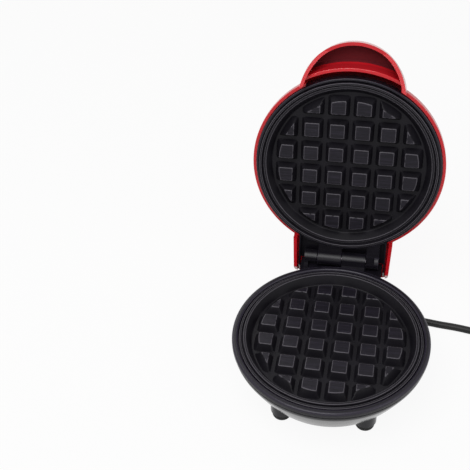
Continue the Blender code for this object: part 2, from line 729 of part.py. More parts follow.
def make_base_rim():
    """The base's upper ring with the plate's ledge, the bridge behind it and two knuckles."""
    bead_in = BODY_RADIUS - RIM_WALL
    bead_low = RIM_TOP - RIM_BEAD_RISE
    groove = RIM_BOTTOM + RIM_GROOVE_RISE
    ledge = LOWER_FACE - FLANGE_UNDER_FACE - SEAT_GAP
    spigot_out = bowl_inner_radius(RIM_BOTTOM - RIM_SPIGOT_DEPTH) - SEAT_GAP
    spigot_in = spigot_out - RIM_SPIGOT_WALL
    lip = BODY_RADIUS - BOWL_LIP_INSET
    ledge_low = ledge - LEDGE_THICKNESS
    ring = turned("base_rim", (
        (BODY_RADIUS, groove),
        (BODY_RADIUS, bead_low),
        (BODY_RADIUS - RIM_BEAD_INSET, RIM_TOP),
        (bead_in + RIM_BEAD_INSET, RIM_TOP),
        (bead_in, bead_low),
        (bead_in, ledge),
        (LEDGE_RADIUS, ledge),
        (LEDGE_RADIUS, ledge_low),
        (spigot_in, ledge_low),
        (spigot_in, RIM_BOTTOM - RIM_SPIGOT_DEPTH),
        (spigot_out, RIM_BOTTOM - RIM_SPIGOT_DEPTH),
        (spigot_out, RIM_BOTTOM),
        (lip, RIM_BOTTOM),
        (lip, groove - RIM_GROOVE_DEPTH / 2),
        (BODY_RADIUS - RIM_GROOVE_DEPTH, groove),
    ))
    bridge_top = PIN_Z - BARREL_RADIUS - BARREL_CLEARANCE
    joined = bead_in + RIM_WALL / 2
    front = math.sqrt(bead_in ** 2 - HEEL_HALF_WIDTH ** 2) - PIN_Y
    plug = HEEL_HALF_WIDTH - BOWL_WALL - SEAT_GAP
    plug_back = BOWL_WALL + SEAT_GAP
    plug_low = RIM_BOTTOM - BRIDGE_PLUG_DEPTH
    low, high = RIM_BOTTOM - PIN_Z, bridge_top - PIN_Z
    deep, middle = plug_low - PIN_Z, (low + high) / 2
    plate = [(front, low), (stop_line(low), low), (stop_line(high), high), (front, high)]
    block = [
        (front, deep), (stop_line(deep) - plug_back, deep),
        (stop_line(middle) - plug_back, middle), (front, middle),
    ]
    shift = [[(PIN_Y + y, PIN_Z + z) for y, z in outline] for outline in (plate, block)]
    bridge = extruded("bridge", shift[0], -HEEL_HALF_WIDTH, HEEL_HALF_WIDTH, "X")
    plug = outside(extruded("plug", shift[1], -plug, plug, "X"), spigot_in + RIM_SPIGOT_WALL / 2)
    combined(ring, "UNION", outside(bridge, joined), plug)
    outline = knuckle_outline(front, middle, stop_line(middle) - SEAT_GAP)
    outer = (-HINGE_HALF, -HINGE_HALF + OUTER_KNUCKLE)
    inner = (KNUCKLE_GAP / 2, KNUCKLE_GAP / 2 + INNER_KNUCKLE)
    for start, end in (outer, inner):
        combined(ring, "UNION", outside(extruded("knuckle", outline, start, end, "X"), joined))
    pocket_top = PIN_Z + PIN_RADIUS - PIN_COVER
    pocket_low = pocket_top - BARREL_RADIUS * KNUCKLE_POCKET_REACH_SHARE
    face = PIN_Y - BARREL_RADIUS
    pocket = box("pocket", (outer[0] + KNUCKLE_POCKET_WALL, face - OVERRUN, pocket_low),
        (outer[1] + OVERRUN, face + KNUCKLE_POCKET_DEPTH, pocket_top))
    return combined(ring, "DIFFERENCE", pocket, hinge_bore("bore"))


def make_lid_rim():
    """The lid's ring with the plate's ledge, three ears for the screws, the leaf and two knuckles."""
    ring_out = BODY_RADIUS - SHELL_WALL - SEAT_GAP
    bead_in = BODY_RADIUS - RIM_WALL
    bead = (ring_out - bead_in) / 3
    ledge = UPPER_FACE + FLANGE_UNDER_FACE + SEAT_GAP
    top = SHELL_BOTTOM + LID_RING_DEPTH - SEAT_GAP
    ring_in = ring_out - LID_RING_WALL
    ring = turned("lid_rim", (
        (ring_out, UPPER_FACE + bead),
        (ring_out, top),
        (ring_in, top),
        (ring_in, ledge + LEDGE_THICKNESS),
        (LEDGE_RADIUS, ledge + LEDGE_THICKNESS),
        (LEDGE_RADIUS, ledge),
        (bead_in, ledge),
        (bead_in, UPPER_FACE + bead),
        (bead_in + bead, UPPER_FACE),
        (ring_out - bead, UPPER_FACE),
    ))
    ear_low = UPPER_FACE + PLATE_DEPTH + UPPER_POST_LENGTH + SEAT_GAP
    ear_top = ear_low + EAR_THICKNESS
    riser_low = ledge + LEDGE_THICKNESS / 2
    riser_in = plate_wall_radius(riser_low - UPPER_FACE) + SEAT_GAP
    shell_room = dome_inner_radius(ear_top) * math.cos(math.pi / ROUND_STEPS)
    corner = math.sqrt((shell_room - SEAT_GAP) ** 2 - EAR_WIDTH ** 2 / 4)
    riser_out = min(riser_in + EAR_RISER, corner)
    tip = UPPER_POST_CIRCLE - EAR_WIDTH / 2
    section = [
        (riser_in, riser_low), (riser_out, riser_low),
        (riser_out, ear_top), (tip, ear_top), (tip, ear_low), (riser_in, ear_low),
    ]
    for angle in EAR_ANGLES:
        ear = extruded("ear", section, -EAR_WIDTH / 2, EAR_WIDTH / 2, "X")
        combined(ring, "UNION", moved(ear, Matrix.Rotation(angle - math.pi / 2, 4, "Z")))
    joined = ring_in + LID_RING_WALL / 2
    leaf_front = math.sqrt(ring_in ** 2 - HINGE_HALF ** 2) - PIN_Y
    barrel = arc((0, 0), BARREL_RADIUS, math.radians(90), math.radians(-180), 12)
    leaf = [(leaf_front, BARREL_RADIUS)] + barrel
    leaf += [(-BARREL_RADIUS, LEAF_UNDER_PIN), (leaf_front, LEAF_UNDER_PIN)]
    leaf = [(PIN_Y + y, PIN_Z + z) for y, z in leaf]
    inner = (-KNUCKLE_GAP / 2 - INNER_KNUCKLE, -KNUCKLE_GAP / 2)
    outer = (HINGE_HALF - OUTER_KNUCKLE, HINGE_HALF)
    for start, end in (inner, outer):
        combined(ring, "UNION", outside(extruded("knuckle", leaf, start, end, "X"), joined))
    pocket_back = PIN_Y - PIN_RADIUS + PIN_COVER
    pocket_front = pocket_back - BARREL_RADIUS * KNUCKLE_POCKET_REACH_SHARE
    face = PIN_Z - BARREL_RADIUS
    pocket = box("pocket", (outer[0] - OVERRUN, pocket_front, face - OVERRUN),
        (outer[1] - KNUCKLE_POCKET_WALL, pocket_back, face + KNUCKLE_POCKET_DEPTH))
    holes = [
        cylinder("hole", HOLE_RADIUS, ear_low - OVERRUN / 2, ear_top + OVERRUN, polar(UPPER_POST_CIRCLE, a))
        for a in EAR_ANGLES
    ]
    return combined(ring, "DIFFERENCE", pocket, hinge_bore("bore"), merged("holes", *holes))


def dome_points(radius, base, height, count=DOME_POINTS):
    """The dome's outline from its foot to its top, as a squared-off ellipse."""
    found = []
    for i in range(count):
        share = math.cos(math.pi / 2 * (i / (count - 1)) ** DOME_SPREAD_POWER)
        rise = max(1 - share ** DOME_EDGE_POWER, 0) ** (1 / DOME_TOP_POWER)
        found.append((radius * share, base + height * rise))
    found[-1] = (0, base + height)
    return found


def inner_dome():
    """The outline of the dome's inner face, from its foot to its top."""
    return dome_points(DOME_RADIUS - SHELL_WALL, DOME_BASE, DOME_HEIGHT - SHELL_WALL, INNER_DOME_POINTS)


def dome_inner_radius(height):
    """Radius of the dome's inner face at this height."""
    inner = inner_dome()
    for (low_radius, low), (high_radius, high) in zip(inner, inner[1:]):
        if low <= height <= high:
            return low_radius + (high_radius - low_radius) * (height - low) / (high - low)
    return inner[0][0]


def cover_outline(inset):
    """The hinge cover from above: slightly narrower behind, with round back corners."""
    front = PIN_Y - 2 * BARREL_RADIUS - 2 * OVERRUN
    back = PIN_Y + COVER_BEHIND_PIN
    half = COVER_HALF_WIDTH - inset
    wide = half + COVER_SPREAD
    if inset:
        right = [(wide, front - OVERRUN), (half, back + OVERRUN)]
        return right + [(-x, y) for x, y in reversed(right)]
    centre = half - COVER_CORNER
    right = arc((centre, back - COVER_CORNER), COVER_CORNER, 0, math.pi / 2, 5)
    left = [(-x, y) for x, y in reversed(right)]
    return [(-wide, front), (wide, front)] + right + left


def dome_core(name, low, waist):
    """The solid inside the middle of the red wall, with a wider skirt below the shell's edge."""
    middle = SHELL_WALL / 2
    return turned(name, [
        (0, low), (waist, low), (waist, SHELL_BOTTOM - SHELL_BAND_EDGE),
        (BODY_RADIUS - middle, SHELL_BOTTOM + SHELL_BAND_EDGE), (BODY_RADIUS - middle, BAND_TOP - middle),
        (DOME_RADIUS - middle, BAND_TOP),
    ] + dome_points(DOME_RADIUS - middle, DOME_BASE, DOME_HEIGHT - middle)[1:])


def make_grip():
    """The hollow grip: level in front, its ends sloping down beside the rings, with a rib behind."""
    low = BAND_TOP - GRIP_UNDER_BAND
    top = low + GRIP_THICKNESS
    heel = low - GRIP_END_DROP
    front = -GRIP_CENTRE - GRIP_RADIUS
    circle = arc((0, -GRIP_CENTRE), GRIP_RADIUS, 0, math.tau, ROUND_STEPS)[:-1]
    grip = extruded("grip", circle, heel - OVERRUN, top)
    bevelled(grip, GRIP_EDGE, 3, lambda a, b: min(a.z, b.z) > top - SEAT_GAP)
    circle = arc((0, -GRIP_CENTRE), GRIP_RADIUS - GRIP_WALL, 0, math.tau, ROUND_STEPS)[:-1]
    hollow = extruded("hollow", circle, heel - 2 * OVERRUN, top - GRIP_WALL)
    under = extruded("under", (
        (front - OVERRUN, heel - 2 * OVERRUN), (front - OVERRUN, low), (front + GRIP_LEVEL_RUN, low),
        (front + GRIP_LEVEL_RUN + GRIP_SLOPE_RUN, heel), (OVERRUN, heel), (OVERRUN, heel - 2 * OVERRUN),
    ), -GRIP_RADIUS - OVERRUN, GRIP_RADIUS + OVERRUN, "X")
    core = dome_core("core", heel - 2 * OVERRUN, BODY_RADIUS + 2 * SEAT_GAP)
    combined(grip, "DIFFERENCE", hollow, under, core)
    rib_in = BODY_RADIUS + RIB_OUTSIDE_BODY
    rib_out, rib_top = rib_in + RIB_WALL, top - GRIP_WALL / 2
    rib = turned("rib", (
        (rib_in, SHELL_BOTTOM), (rib_out, SHELL_BOTTOM), (rib_out, rib_top), (rib_in, rib_top),
    ))
    reach_radius = GRIP_RADIUS - GRIP_WALL / 2
    reach = cylinder("reach", reach_radius, low - OVERRUN * 2, top, (0, -GRIP_CENTRE), ROUND_STEPS)
    return combined(grip, "UNION", combined(rib, "INTERSECT", reach))


def make_hinge_cover():
    """The hinge cover before its channel is cut: a block with a slanted edge below."""
    low, roof = PIN_Z - COVER_UNDER_PIN, PIN_Z + ROOF_INSIDE + COVER_WALL
    cover = extruded("cover", cover_outline(0), low, roof)
    bevelled(cover, COVER_EDGE, 2, lambda a, b: (
        min(a.z, b.z) > roof - SEAT_GAP and max(a.y, b.y) > PIN_Y - BARREL_RADIUS
    ))
    back = PIN_Y + COVER_BEHIND_PIN
    chamfer = [
        (back - COVER_CHAMFER_LENGTH, low - OVERRUN), (back + OVERRUN, low - OVERRUN),
        (back + OVERRUN, low + COVER_CHAMFER_HEIGHT), (back, low + COVER_CHAMFER_HEIGHT),
        (back - COVER_CHAMFER_LENGTH, low),
    ]
    wide = COVER_HALF_WIDTH + COVER_SPREAD + OVERRUN
    core = dome_core("core", low - OVERRUN, BODY_RADIUS + 2 * SEAT_GAP)
    return combined(cover, "DIFFERENCE", extruded("chamfer", chamfer, -wide, wide, "X"), core)


def make_lid_shell():
    """The red moulding: dome, hollow grip in front and hinge cover behind."""
    ring_room = BODY_RADIUS - SHELL_WALL
    seat = SHELL_BOTTOM + LID_RING_DEPTH
    shell = turned("lid_shell", [
        (ring_room, SHELL_BOTTOM), (BODY_RADIUS, SHELL_BOTTOM), (BODY_RADIUS, BAND_TOP - SHELL_BAND_EDGE / 2),
        (BODY_RADIUS - SHELL_BAND_EDGE / 2, BAND_TOP), (DOME_RADIUS, BAND_TOP + SHELL_BAND_EDGE / 2),
    ] + dome_points(DOME_RADIUS, DOME_BASE, DOME_HEIGHT)[1:] + inner_dome()[:0:-1] + [
        (DOME_RADIUS - SHELL_WALL, seat), (ring_room, seat),
    ])
    cup_low = lens_floor() - LENS_CUP_DEPTH
    recess = LENS_RADIUS + LENS_RING_WIDTH + LENS_RECESS_WIDTH
    place = (0, LENS_BEHIND_AXIS)
    cup = cylinder("cup", recess + LENS_CUP_WALL, cup_low, DOME_TOP + OVERRUN, place, MIDDLE_STEPS)
    combined(cup, "INTERSECT", dome_core("core", PIN_Z, BODY_RADIUS))
    notch_radius = GRIP_RADIUS - GRIP_WALL * 3 / 2
    notch = cylinder("notch", notch_radius, PIN_Z, SHELL_BOTTOM + NOTCH_HEIGHT, (0, -GRIP_CENTRE), ROUND_STEPS)
    combined(shell, "DIFFERENCE", notch)
    combined(shell, "UNION", cup, make_hinge_cover(), make_grip())
    bore = LENS_RADIUS + LENS_RING_WIDTH + 2 * SEAT_GAP
    dish = turned("dish", (
        (0, cup_low - OVERRUN), (bore, cup_low - OVERRUN), (bore, lens_floor()),
        (recess - LENS_RECESS_WIDTH / 3, lens_floor()),
        (recess, DOME_TOP), (recess, DOME_TOP + OVERRUN), (0, DOME_TOP + OVERRUN),
    ), MIDDLE_STEPS)
    low = PIN_Z - COVER_UNDER_PIN - OVERRUN
    channel = extruded("channel", cover_outline(COVER_WALL), low, PIN_Z + ROOF_INSIDE)
    return combined(shell, "DIFFERENCE", moved(dish, Matrix.Translation((*place, 0))), channel)


def lens_floor():
    """Height of the floor of the dish round the lens."""
    return DOME_TOP - LENS_RECESS_DEPTH


def make_lens_pieces():
    """Lens, ring, lamp and holder, stacked down from the dish round the lens."""
    ring_in = LENS_RADIUS + SEAT_GAP
    ring_out = ring_in + LENS_RING_WIDTH
    top = lens_floor() + LENS_LIP_THICKNESS / 2
    cup_low = lens_floor() - LENS_CUP_DEPTH
    flange_top = cup_low - SEAT_GAP
    flange_low = flange_top - LENS_LIP_THICKNESS
    eye, flange_out = ring_in - LENS_LIP, ring_out + LENS_RING_FLANGE
    ring = turned("lens_ring", (
        (ring_in, top), (ring_in, flange_top), (eye, flange_top), (eye, flange_low),
        (flange_out, flange_low), (flange_out, flange_top),
        (ring_out, flange_top), (ring_out, top),
    ), MIDDLE_STEPS)
    seat = flange_top + SEAT_GAP
    crown = [
        (LENS_RADIUS * math.cos(a), top + LENS_CROWN * math.sin(a))
        for a in (math.pi / 2 * i / 4 for i in range(4))
    ]
    lens = [(0, seat), (LENS_RADIUS, seat)] + crown + [(0, top + LENS_CROWN)]
    lens = turned("indicator_lens", lens, MIDDLE_STEPS)
    holder_top = flange_low - SEAT_GAP
    tube_in = LAMP_RADIUS + SEAT_GAP
    tube_out = tube_in + HOLDER_WALL
    flange = holder_top - HOLDER_FLANGE_THICKNESS
    low = holder_top - HOLDER_LENGTH
    holder = turned("lamp_holder", (
        (tube_in, holder_top), (tube_in, low + HOLDER_WALL),
        (HOLDER_HOLE_RADIUS, low + HOLDER_WALL), (HOLDER_HOLE_RADIUS, low),
        (tube_out, low), (tube_out, flange), (ring_out, flange), (ring_out, holder_top),
    ), MIDDLE_STEPS)
    foot = low + HOLDER_WALL + SEAT_GAP
    tip = foot + LAMP_LENGTH
    lamp = turned("indicator_lamp", (
        (0, foot), (LAMP_RADIUS, foot), (LAMP_RADIUS, tip - LAMP_RADIUS),
        (LAMP_RADIUS * LAMP_TIP_SHARE, tip - LAMP_RADIUS * (1 - LAMP_TIP_SHARE)), (0, tip),
    ), SMALL_STEPS)
    made = (lens, ring, holder, lamp)
    for piece in made:
        moved(piece, Matrix.Translation((0, LENS_BEHIND_AXIS, 0)))
    return made


def make_reflector():
    """A pressed steel dish on the bowl's bosses, with its edge turned up."""
    top, bottom = REFLECTOR_TOP, REFLECTOR_BOTTOM
    out = LOWER_POST_CIRCLE + REFLECTOR_MARGIN
    disc = turned("lower_reflector", (
        (0, bottom), (out, bottom), (out + REFLECTOR_FLANGE, bottom + REFLECTOR_FLANGE),
        (out + REFLECTOR_FLANGE, top + REFLECTOR_FLANGE), (out, top), (0, top),
    ), MIDDLE_STEPS)
    low, high = bottom - OVERRUN, top + OVERRUN
    holes = [cylinder("hole", HOLE_RADIUS, low, high, polar(LOWER_POST_CIRCLE, a)) for a in POST_ANGLES]
    wires = (0, LOWER_POST_CIRCLE - WIRE_HOLE_INSET)
    holes.append(cylinder("wires", WIRE_HOLE_RADIUS, low, high, wires))
    return combined(disc, "DIFFERENCE", merged("holes", *holes))


def make_thermostat():
    """A disc thermostat pressed against the plate's back, with two tabs."""
    top = LOWER_FACE - PLATE_DEPTH - SEAT_GAP
    cap = top - THERMOSTAT_CAP
    low = cap - THERMOSTAT_BODY
    body = turned("thermostat", (
        (0, top), (THERMOSTAT_RADIUS, top), (THERMOSTAT_RADIUS, cap),
        (THERMOSTAT_BODY_RADIUS, cap), (THERMOSTAT_BODY_RADIUS, low), (0, low),
    ), MIDDLE_STEPS)
    for side in (-1, 1):
        x = side * THERMOSTAT_TAB_PLACE
        half = THERMOSTAT_TAB_THICKNESS / 2
        tab = box("tab", (x - half, -THERMOSTAT_TAB_WIDTH / 2, low - THERMOSTAT_TAB_LENGTH),
            (x + half, THERMOSTAT_TAB_WIDTH / 2, low + THERMOSTAT_CAP))
        combined(body, "UNION", tab)
    return body


def make_fuse():
    """The one-shot fuse, lying along X against the plate's back."""
    half = FUSE_LENGTH / 2
    end = half + FUSE_END_LENGTH
    body = turned("thermal_fuse", (
        (0, -end), (FUSE_END_RADIUS, -end), (FUSE_END_RADIUS, -half), (FUSE_RADIUS, -half),
        (FUSE_RADIUS, half), (FUSE_END_RADIUS, half), (FUSE_END_RADIUS, end), (0, end),
    ), SMALL_STEPS)
    height = LOWER_FACE - PLATE_DEPTH - SEAT_GAP - FUSE_RADIUS
    aside = THERMOSTAT_RADIUS + FUSE_TO_THERMOSTAT + FUSE_RADIUS
    return along_x(body, Vector((0, -aside, height)), Vector((1, 0, 0)))


def make_terminal_block():
    """A two-way screw terminal on the bowl's floor, in front of the heel."""
    floor = BOWL_BOTTOM + BOWL_WALL + SEAT_GAP
    back = HEEL_FRONT - TERMINAL_FRONT
    front, top = back - TERMINAL_WIDTH, floor + TERMINAL_HEIGHT
    half, slit = TERMINAL_LENGTH / 2, TERMINAL_NOTCH / 2
    block = box("terminal_block", (-half, front, floor), (half, back, top))
    notch = box("notch", (-slit, front - OVERRUN, (floor + top) / 2), (slit, back + OVERRUN, top + OVERRUN))
    return combined(block, "DIFFERENCE", notch)


def make_relief():
    """The sleeve: a flange inside the wall, a neck through it, a collar and a drooping ribbed taper."""
    place, way = relief_frame()
    inside = -BOWL_WALL - SEAT_GAP
    inner_flange = RELIEF_HEIGHT - BOWL_BOTTOM - BOWL_WALL - HEEL_FLOOR_STEP - SEAT_GAP
    slope = RELIEF_SLEEVE_RADIUS * math.sin(RELIEF_TILT)
    collar = 2 * slope + 3 * SEAT_GAP
    gland = turned("strain_relief", (
        (0, inside - RELIEF_FLANGE), (inner_flange, inside - RELIEF_FLANGE),
        (inner_flange, inside), (RELIEF_NECK_RADIUS, inside),
        (RELIEF_NECK_RADIUS, SEAT_GAP), (RELIEF_FLANGE_RADIUS, SEAT_GAP),
        (RELIEF_FLANGE_RADIUS, collar), (0, collar),
    ), SMALL_STEPS)
    along_x(gland, place, Vector((1, 0, 0)))
    start = (slope + 2 * SEAT_GAP) / math.cos(RELIEF_TILT)
    run = RELIEF_LENGTH - start
    profile = [(0, start), (RELIEF_SLEEVE_RADIUS, start)]
    for i in range(RELIEF_RIBS):
        for share, depth in RELIEF_RIB_SHARES:
            at = (i + share) / RELIEF_RIBS
            radius = RELIEF_SLEEVE_RADIUS + (RELIEF_TIP_RADIUS - RELIEF_SLEEVE_RADIUS) * at
            profile.append((radius - RELIEF_RIB_DEPTH * depth, start + run * at))
    profile += [(RELIEF_TIP_RADIUS, RELIEF_LENGTH), (0, RELIEF_LENGTH)]
    sleeve = along_x(turned("sleeve", profile, SMALL_STEPS), place, way)
    return combined(gland, "UNION", sleeve)


def smooth_points(route, count):
    """Evenly spaced points on a smooth curve through the route."""
    padded = [route[0] * 2 - route[1]] + route + [route[-1] * 2 - route[-2]]
    fine = []
    for i in range(1, len(padded) - 2):
        p0, p1, p2, p3 = padded[i - 1:i + 3]
        for k in range(24):
            t = k / 24
            fine.append((p1 * 2 + (p2 - p0) * t + (p0 * 2 - p1 * 5 + p2 * 4 - p3) * t * t
                + (p1 * 3 - p0 - p2 * 3 + p3) * t ** 3) / 2)
    fine.append(route[-1])
    lengths = [0.0]
    for a, b in zip(fine, fine[1:]):
        lengths.append(lengths[-1] + (b - a).length)
    found, at = [], 0
    for i in range(count):
        target = lengths[-1] * i / (count - 1)
        while at < len(fine) - 2 and lengths[at + 1] < target:
            at += 1
        share = (target - lengths[at]) / (lengths[at + 1] - lengths[at])
        found.append(fine[at].lerp(fine[at + 1], min(share, 1)))
    return found


def coil_path():
    """Loops that spiral in on the table and out again on top, lifted where the tie passes under."""
    steps = COIL_STEPS
    half = steps // 2
    climb = COIL_POINTS_PER_TURN // 2
    radius = CORD_DIAMETER / 2
    outer = COIL_MEAN_RADIUS + COIL_TURN_STEP * steps / COIL_POINTS_PER_TURN / 4
    lift = TIE_THICKNESS + TIE_CLEARANCE
    points = []
    for i in range(steps + 1):
        turn = COIL_START + math.tau * i / COIL_POINTS_PER_TURN
        inward = min(i, steps - i) / COIL_POINTS_PER_TURN
        layer = min(max((i - (half - climb / 2)) / climb, 0), 1)
        layer = layer * layer * (3 - 2 * layer)
        away = abs((turn - TIE_ANGLE + math.pi) % math.tau - math.pi)
        bump = math.cos(math.pi / 2 * min(away / TIE_SPAN, 1)) ** 2
        height = radius + CORD_LAY + lift * bump + COIL_TURN_STEP * layer
        x, y = polar(outer - COIL_TURN_STEP * inward, turn)
        points.append(Vector((COIL_CENTRE[0] + x, COIL_CENTRE[1] + y, height)))
    return points


def straight_ends(points, first, last):
    """The coil's path with a straight run at each end, square to what it meets."""
    start = (points[0] - points[1]).normalized()
    end = (points[-1] - points[-2]).normalized()
    start.z = end.z = 0
    start.normalize()
    end.normalize()
    return [points[0] + start * first] + points + [points[-1] + end * last]


def least_gap(points, diameter):
    """The least gap between stretches of the coil that aren't neighbours along it."""
    least = math.inf
    apart = round(NEIGHBOUR_SHARE * diameter / (points[5] - points[4]).length) + 2
    dense = []
    for a, b in zip(points, points[1:]):
        dense += [a.lerp(b, k / 4) for k in range(4)]
    for i in range(len(dense)):
        for j in range(i + 4 * apart, len(dense)):
            least = min(least, (dense[i] - dense[j]).length)
    return least - diameter


def make_tie(points):
    """A strap round the coil's loops, drawn as a closed band with a square section."""
    middle = Vector((*polar(COIL_MEAN_RADIUS, TIE_ANGLE), 0)) + Vector((*COIL_CENTRE, 0))
    outward = Vector((*polar(1, TIE_ANGLE), 0))
    along = Vector((-outward.y, outward.x, 0))
    near = [
        p for p in points
        if abs((p - middle).dot(along)) < TIE_WIDTH and (p - middle).dot(outward) > -COIL_MEAN_RADIUS
    ]
    reach = [(p - middle).dot(outward) for p in near]
    radius = CORD_DIAMETER / 2
    low_x, high_x = min(reach) - radius - TIE_CLEARANCE, max(reach) + radius + TIE_CLEARANCE
    low_z, high_z = TIE_THICKNESS + CORD_LAY, max(p.z for p in near) + radius + TIE_CLEARANCE
    inner = [(low_x, low_z), (high_x, low_z), (high_x, high_z), (low_x, high_z)]
    signs = ((-1, -1), (1, -1), (1, 1), (-1, 1))
    outer = [(x + i * TIE_THICKNESS, z + j * TIE_THICKNESS) for (x, z), (i, j) in zip(inner, signs)]
    band = extruded("coil_tie", outer, -TIE_WIDTH / 2, TIE_WIDTH / 2)
    bevelled(band, TIE_THICKNESS * TIE_CORNER_SHARE, 2, lambda a, b: abs(a.z - b.z) > TIE_WIDTH / 2)
    combined(band, "DIFFERENCE", extruded("opening", inner, -TIE_WIDTH, TIE_WIDTH))
    frame = Matrix((outward, Vector((0, 0, 1)), -along)).transposed().to_4x4()
    return moved(band, Matrix.Translation(middle) @ frame)


def make_plug(place, way):
    """A two-blade plug: a moulded body on a tapered neck, and its blades as pieces of their own."""
    body = extruded("plug_body", [
        (-PLUG_WIDTH / 2, PLUG_NECK_LENGTH + PLUG_NOSE), (-PLUG_WIDTH / 2, PLUG_NECK_LENGTH + PLUG_LENGTH),
        (PLUG_WIDTH / 2, PLUG_NECK_LENGTH + PLUG_LENGTH), (PLUG_WIDTH / 2, PLUG_NECK_LENGTH + PLUG_NOSE),
        (PLUG_NECK_RADIUS, PLUG_NECK_LENGTH), (-PLUG_NECK_RADIUS, PLUG_NECK_LENGTH),
    ], -PLUG_THICKNESS / 2, PLUG_THICKNESS / 2)
    bevelled(body, PLUG_EDGE, 2, lambda a, b: True)
    neck = turned("neck", (
        (0, 0), (CORD_DIAMETER / 2 + PLUG_EDGE / 3, 0), (PLUG_NECK_RADIUS, PLUG_NECK_LENGTH),
        (PLUG_NECK_RADIUS, PLUG_NECK_LENGTH + PLUG_EDGE * 2), (0, PLUG_NECK_LENGTH + PLUG_EDGE * 2),
    ), SMALL_STEPS)
    moved(neck, Matrix.Rotation(-math.pi / 2, 4, "X"))
    combined(body, "UNION", neck)
    front = PLUG_NECK_LENGTH + PLUG_LENGTH
    blades = []
    for name, side in (("plug_blade_left", -1), ("plug_blade_right", 1)):
        x = side * BLADE_SPACING / 2
        half, tall = BLADE_THICKNESS / 2, BLADE_WIDTH / 2
        wide, high = half + SEAT_GAP, tall + SEAT_GAP
        back = front - BLADE_SOCKET
        combined(body, "DIFFERENCE", box("slot", (x - wide, back, -high), (x + wide, front + OVERRUN, high)))
        blades.append(box(name, (x - half, back + SEAT_GAP, -tall), (x + half, front + BLADE_LENGTH, tall)))
    sideways = Vector((way.y, -way.x, 0))
    frame = Matrix((sideways, way, Vector((0, 0, 1)))).transposed().to_4x4()
    for piece in (body, *blades):
        moved(piece, Matrix.Translation(place) @ frame)
    return body, blades


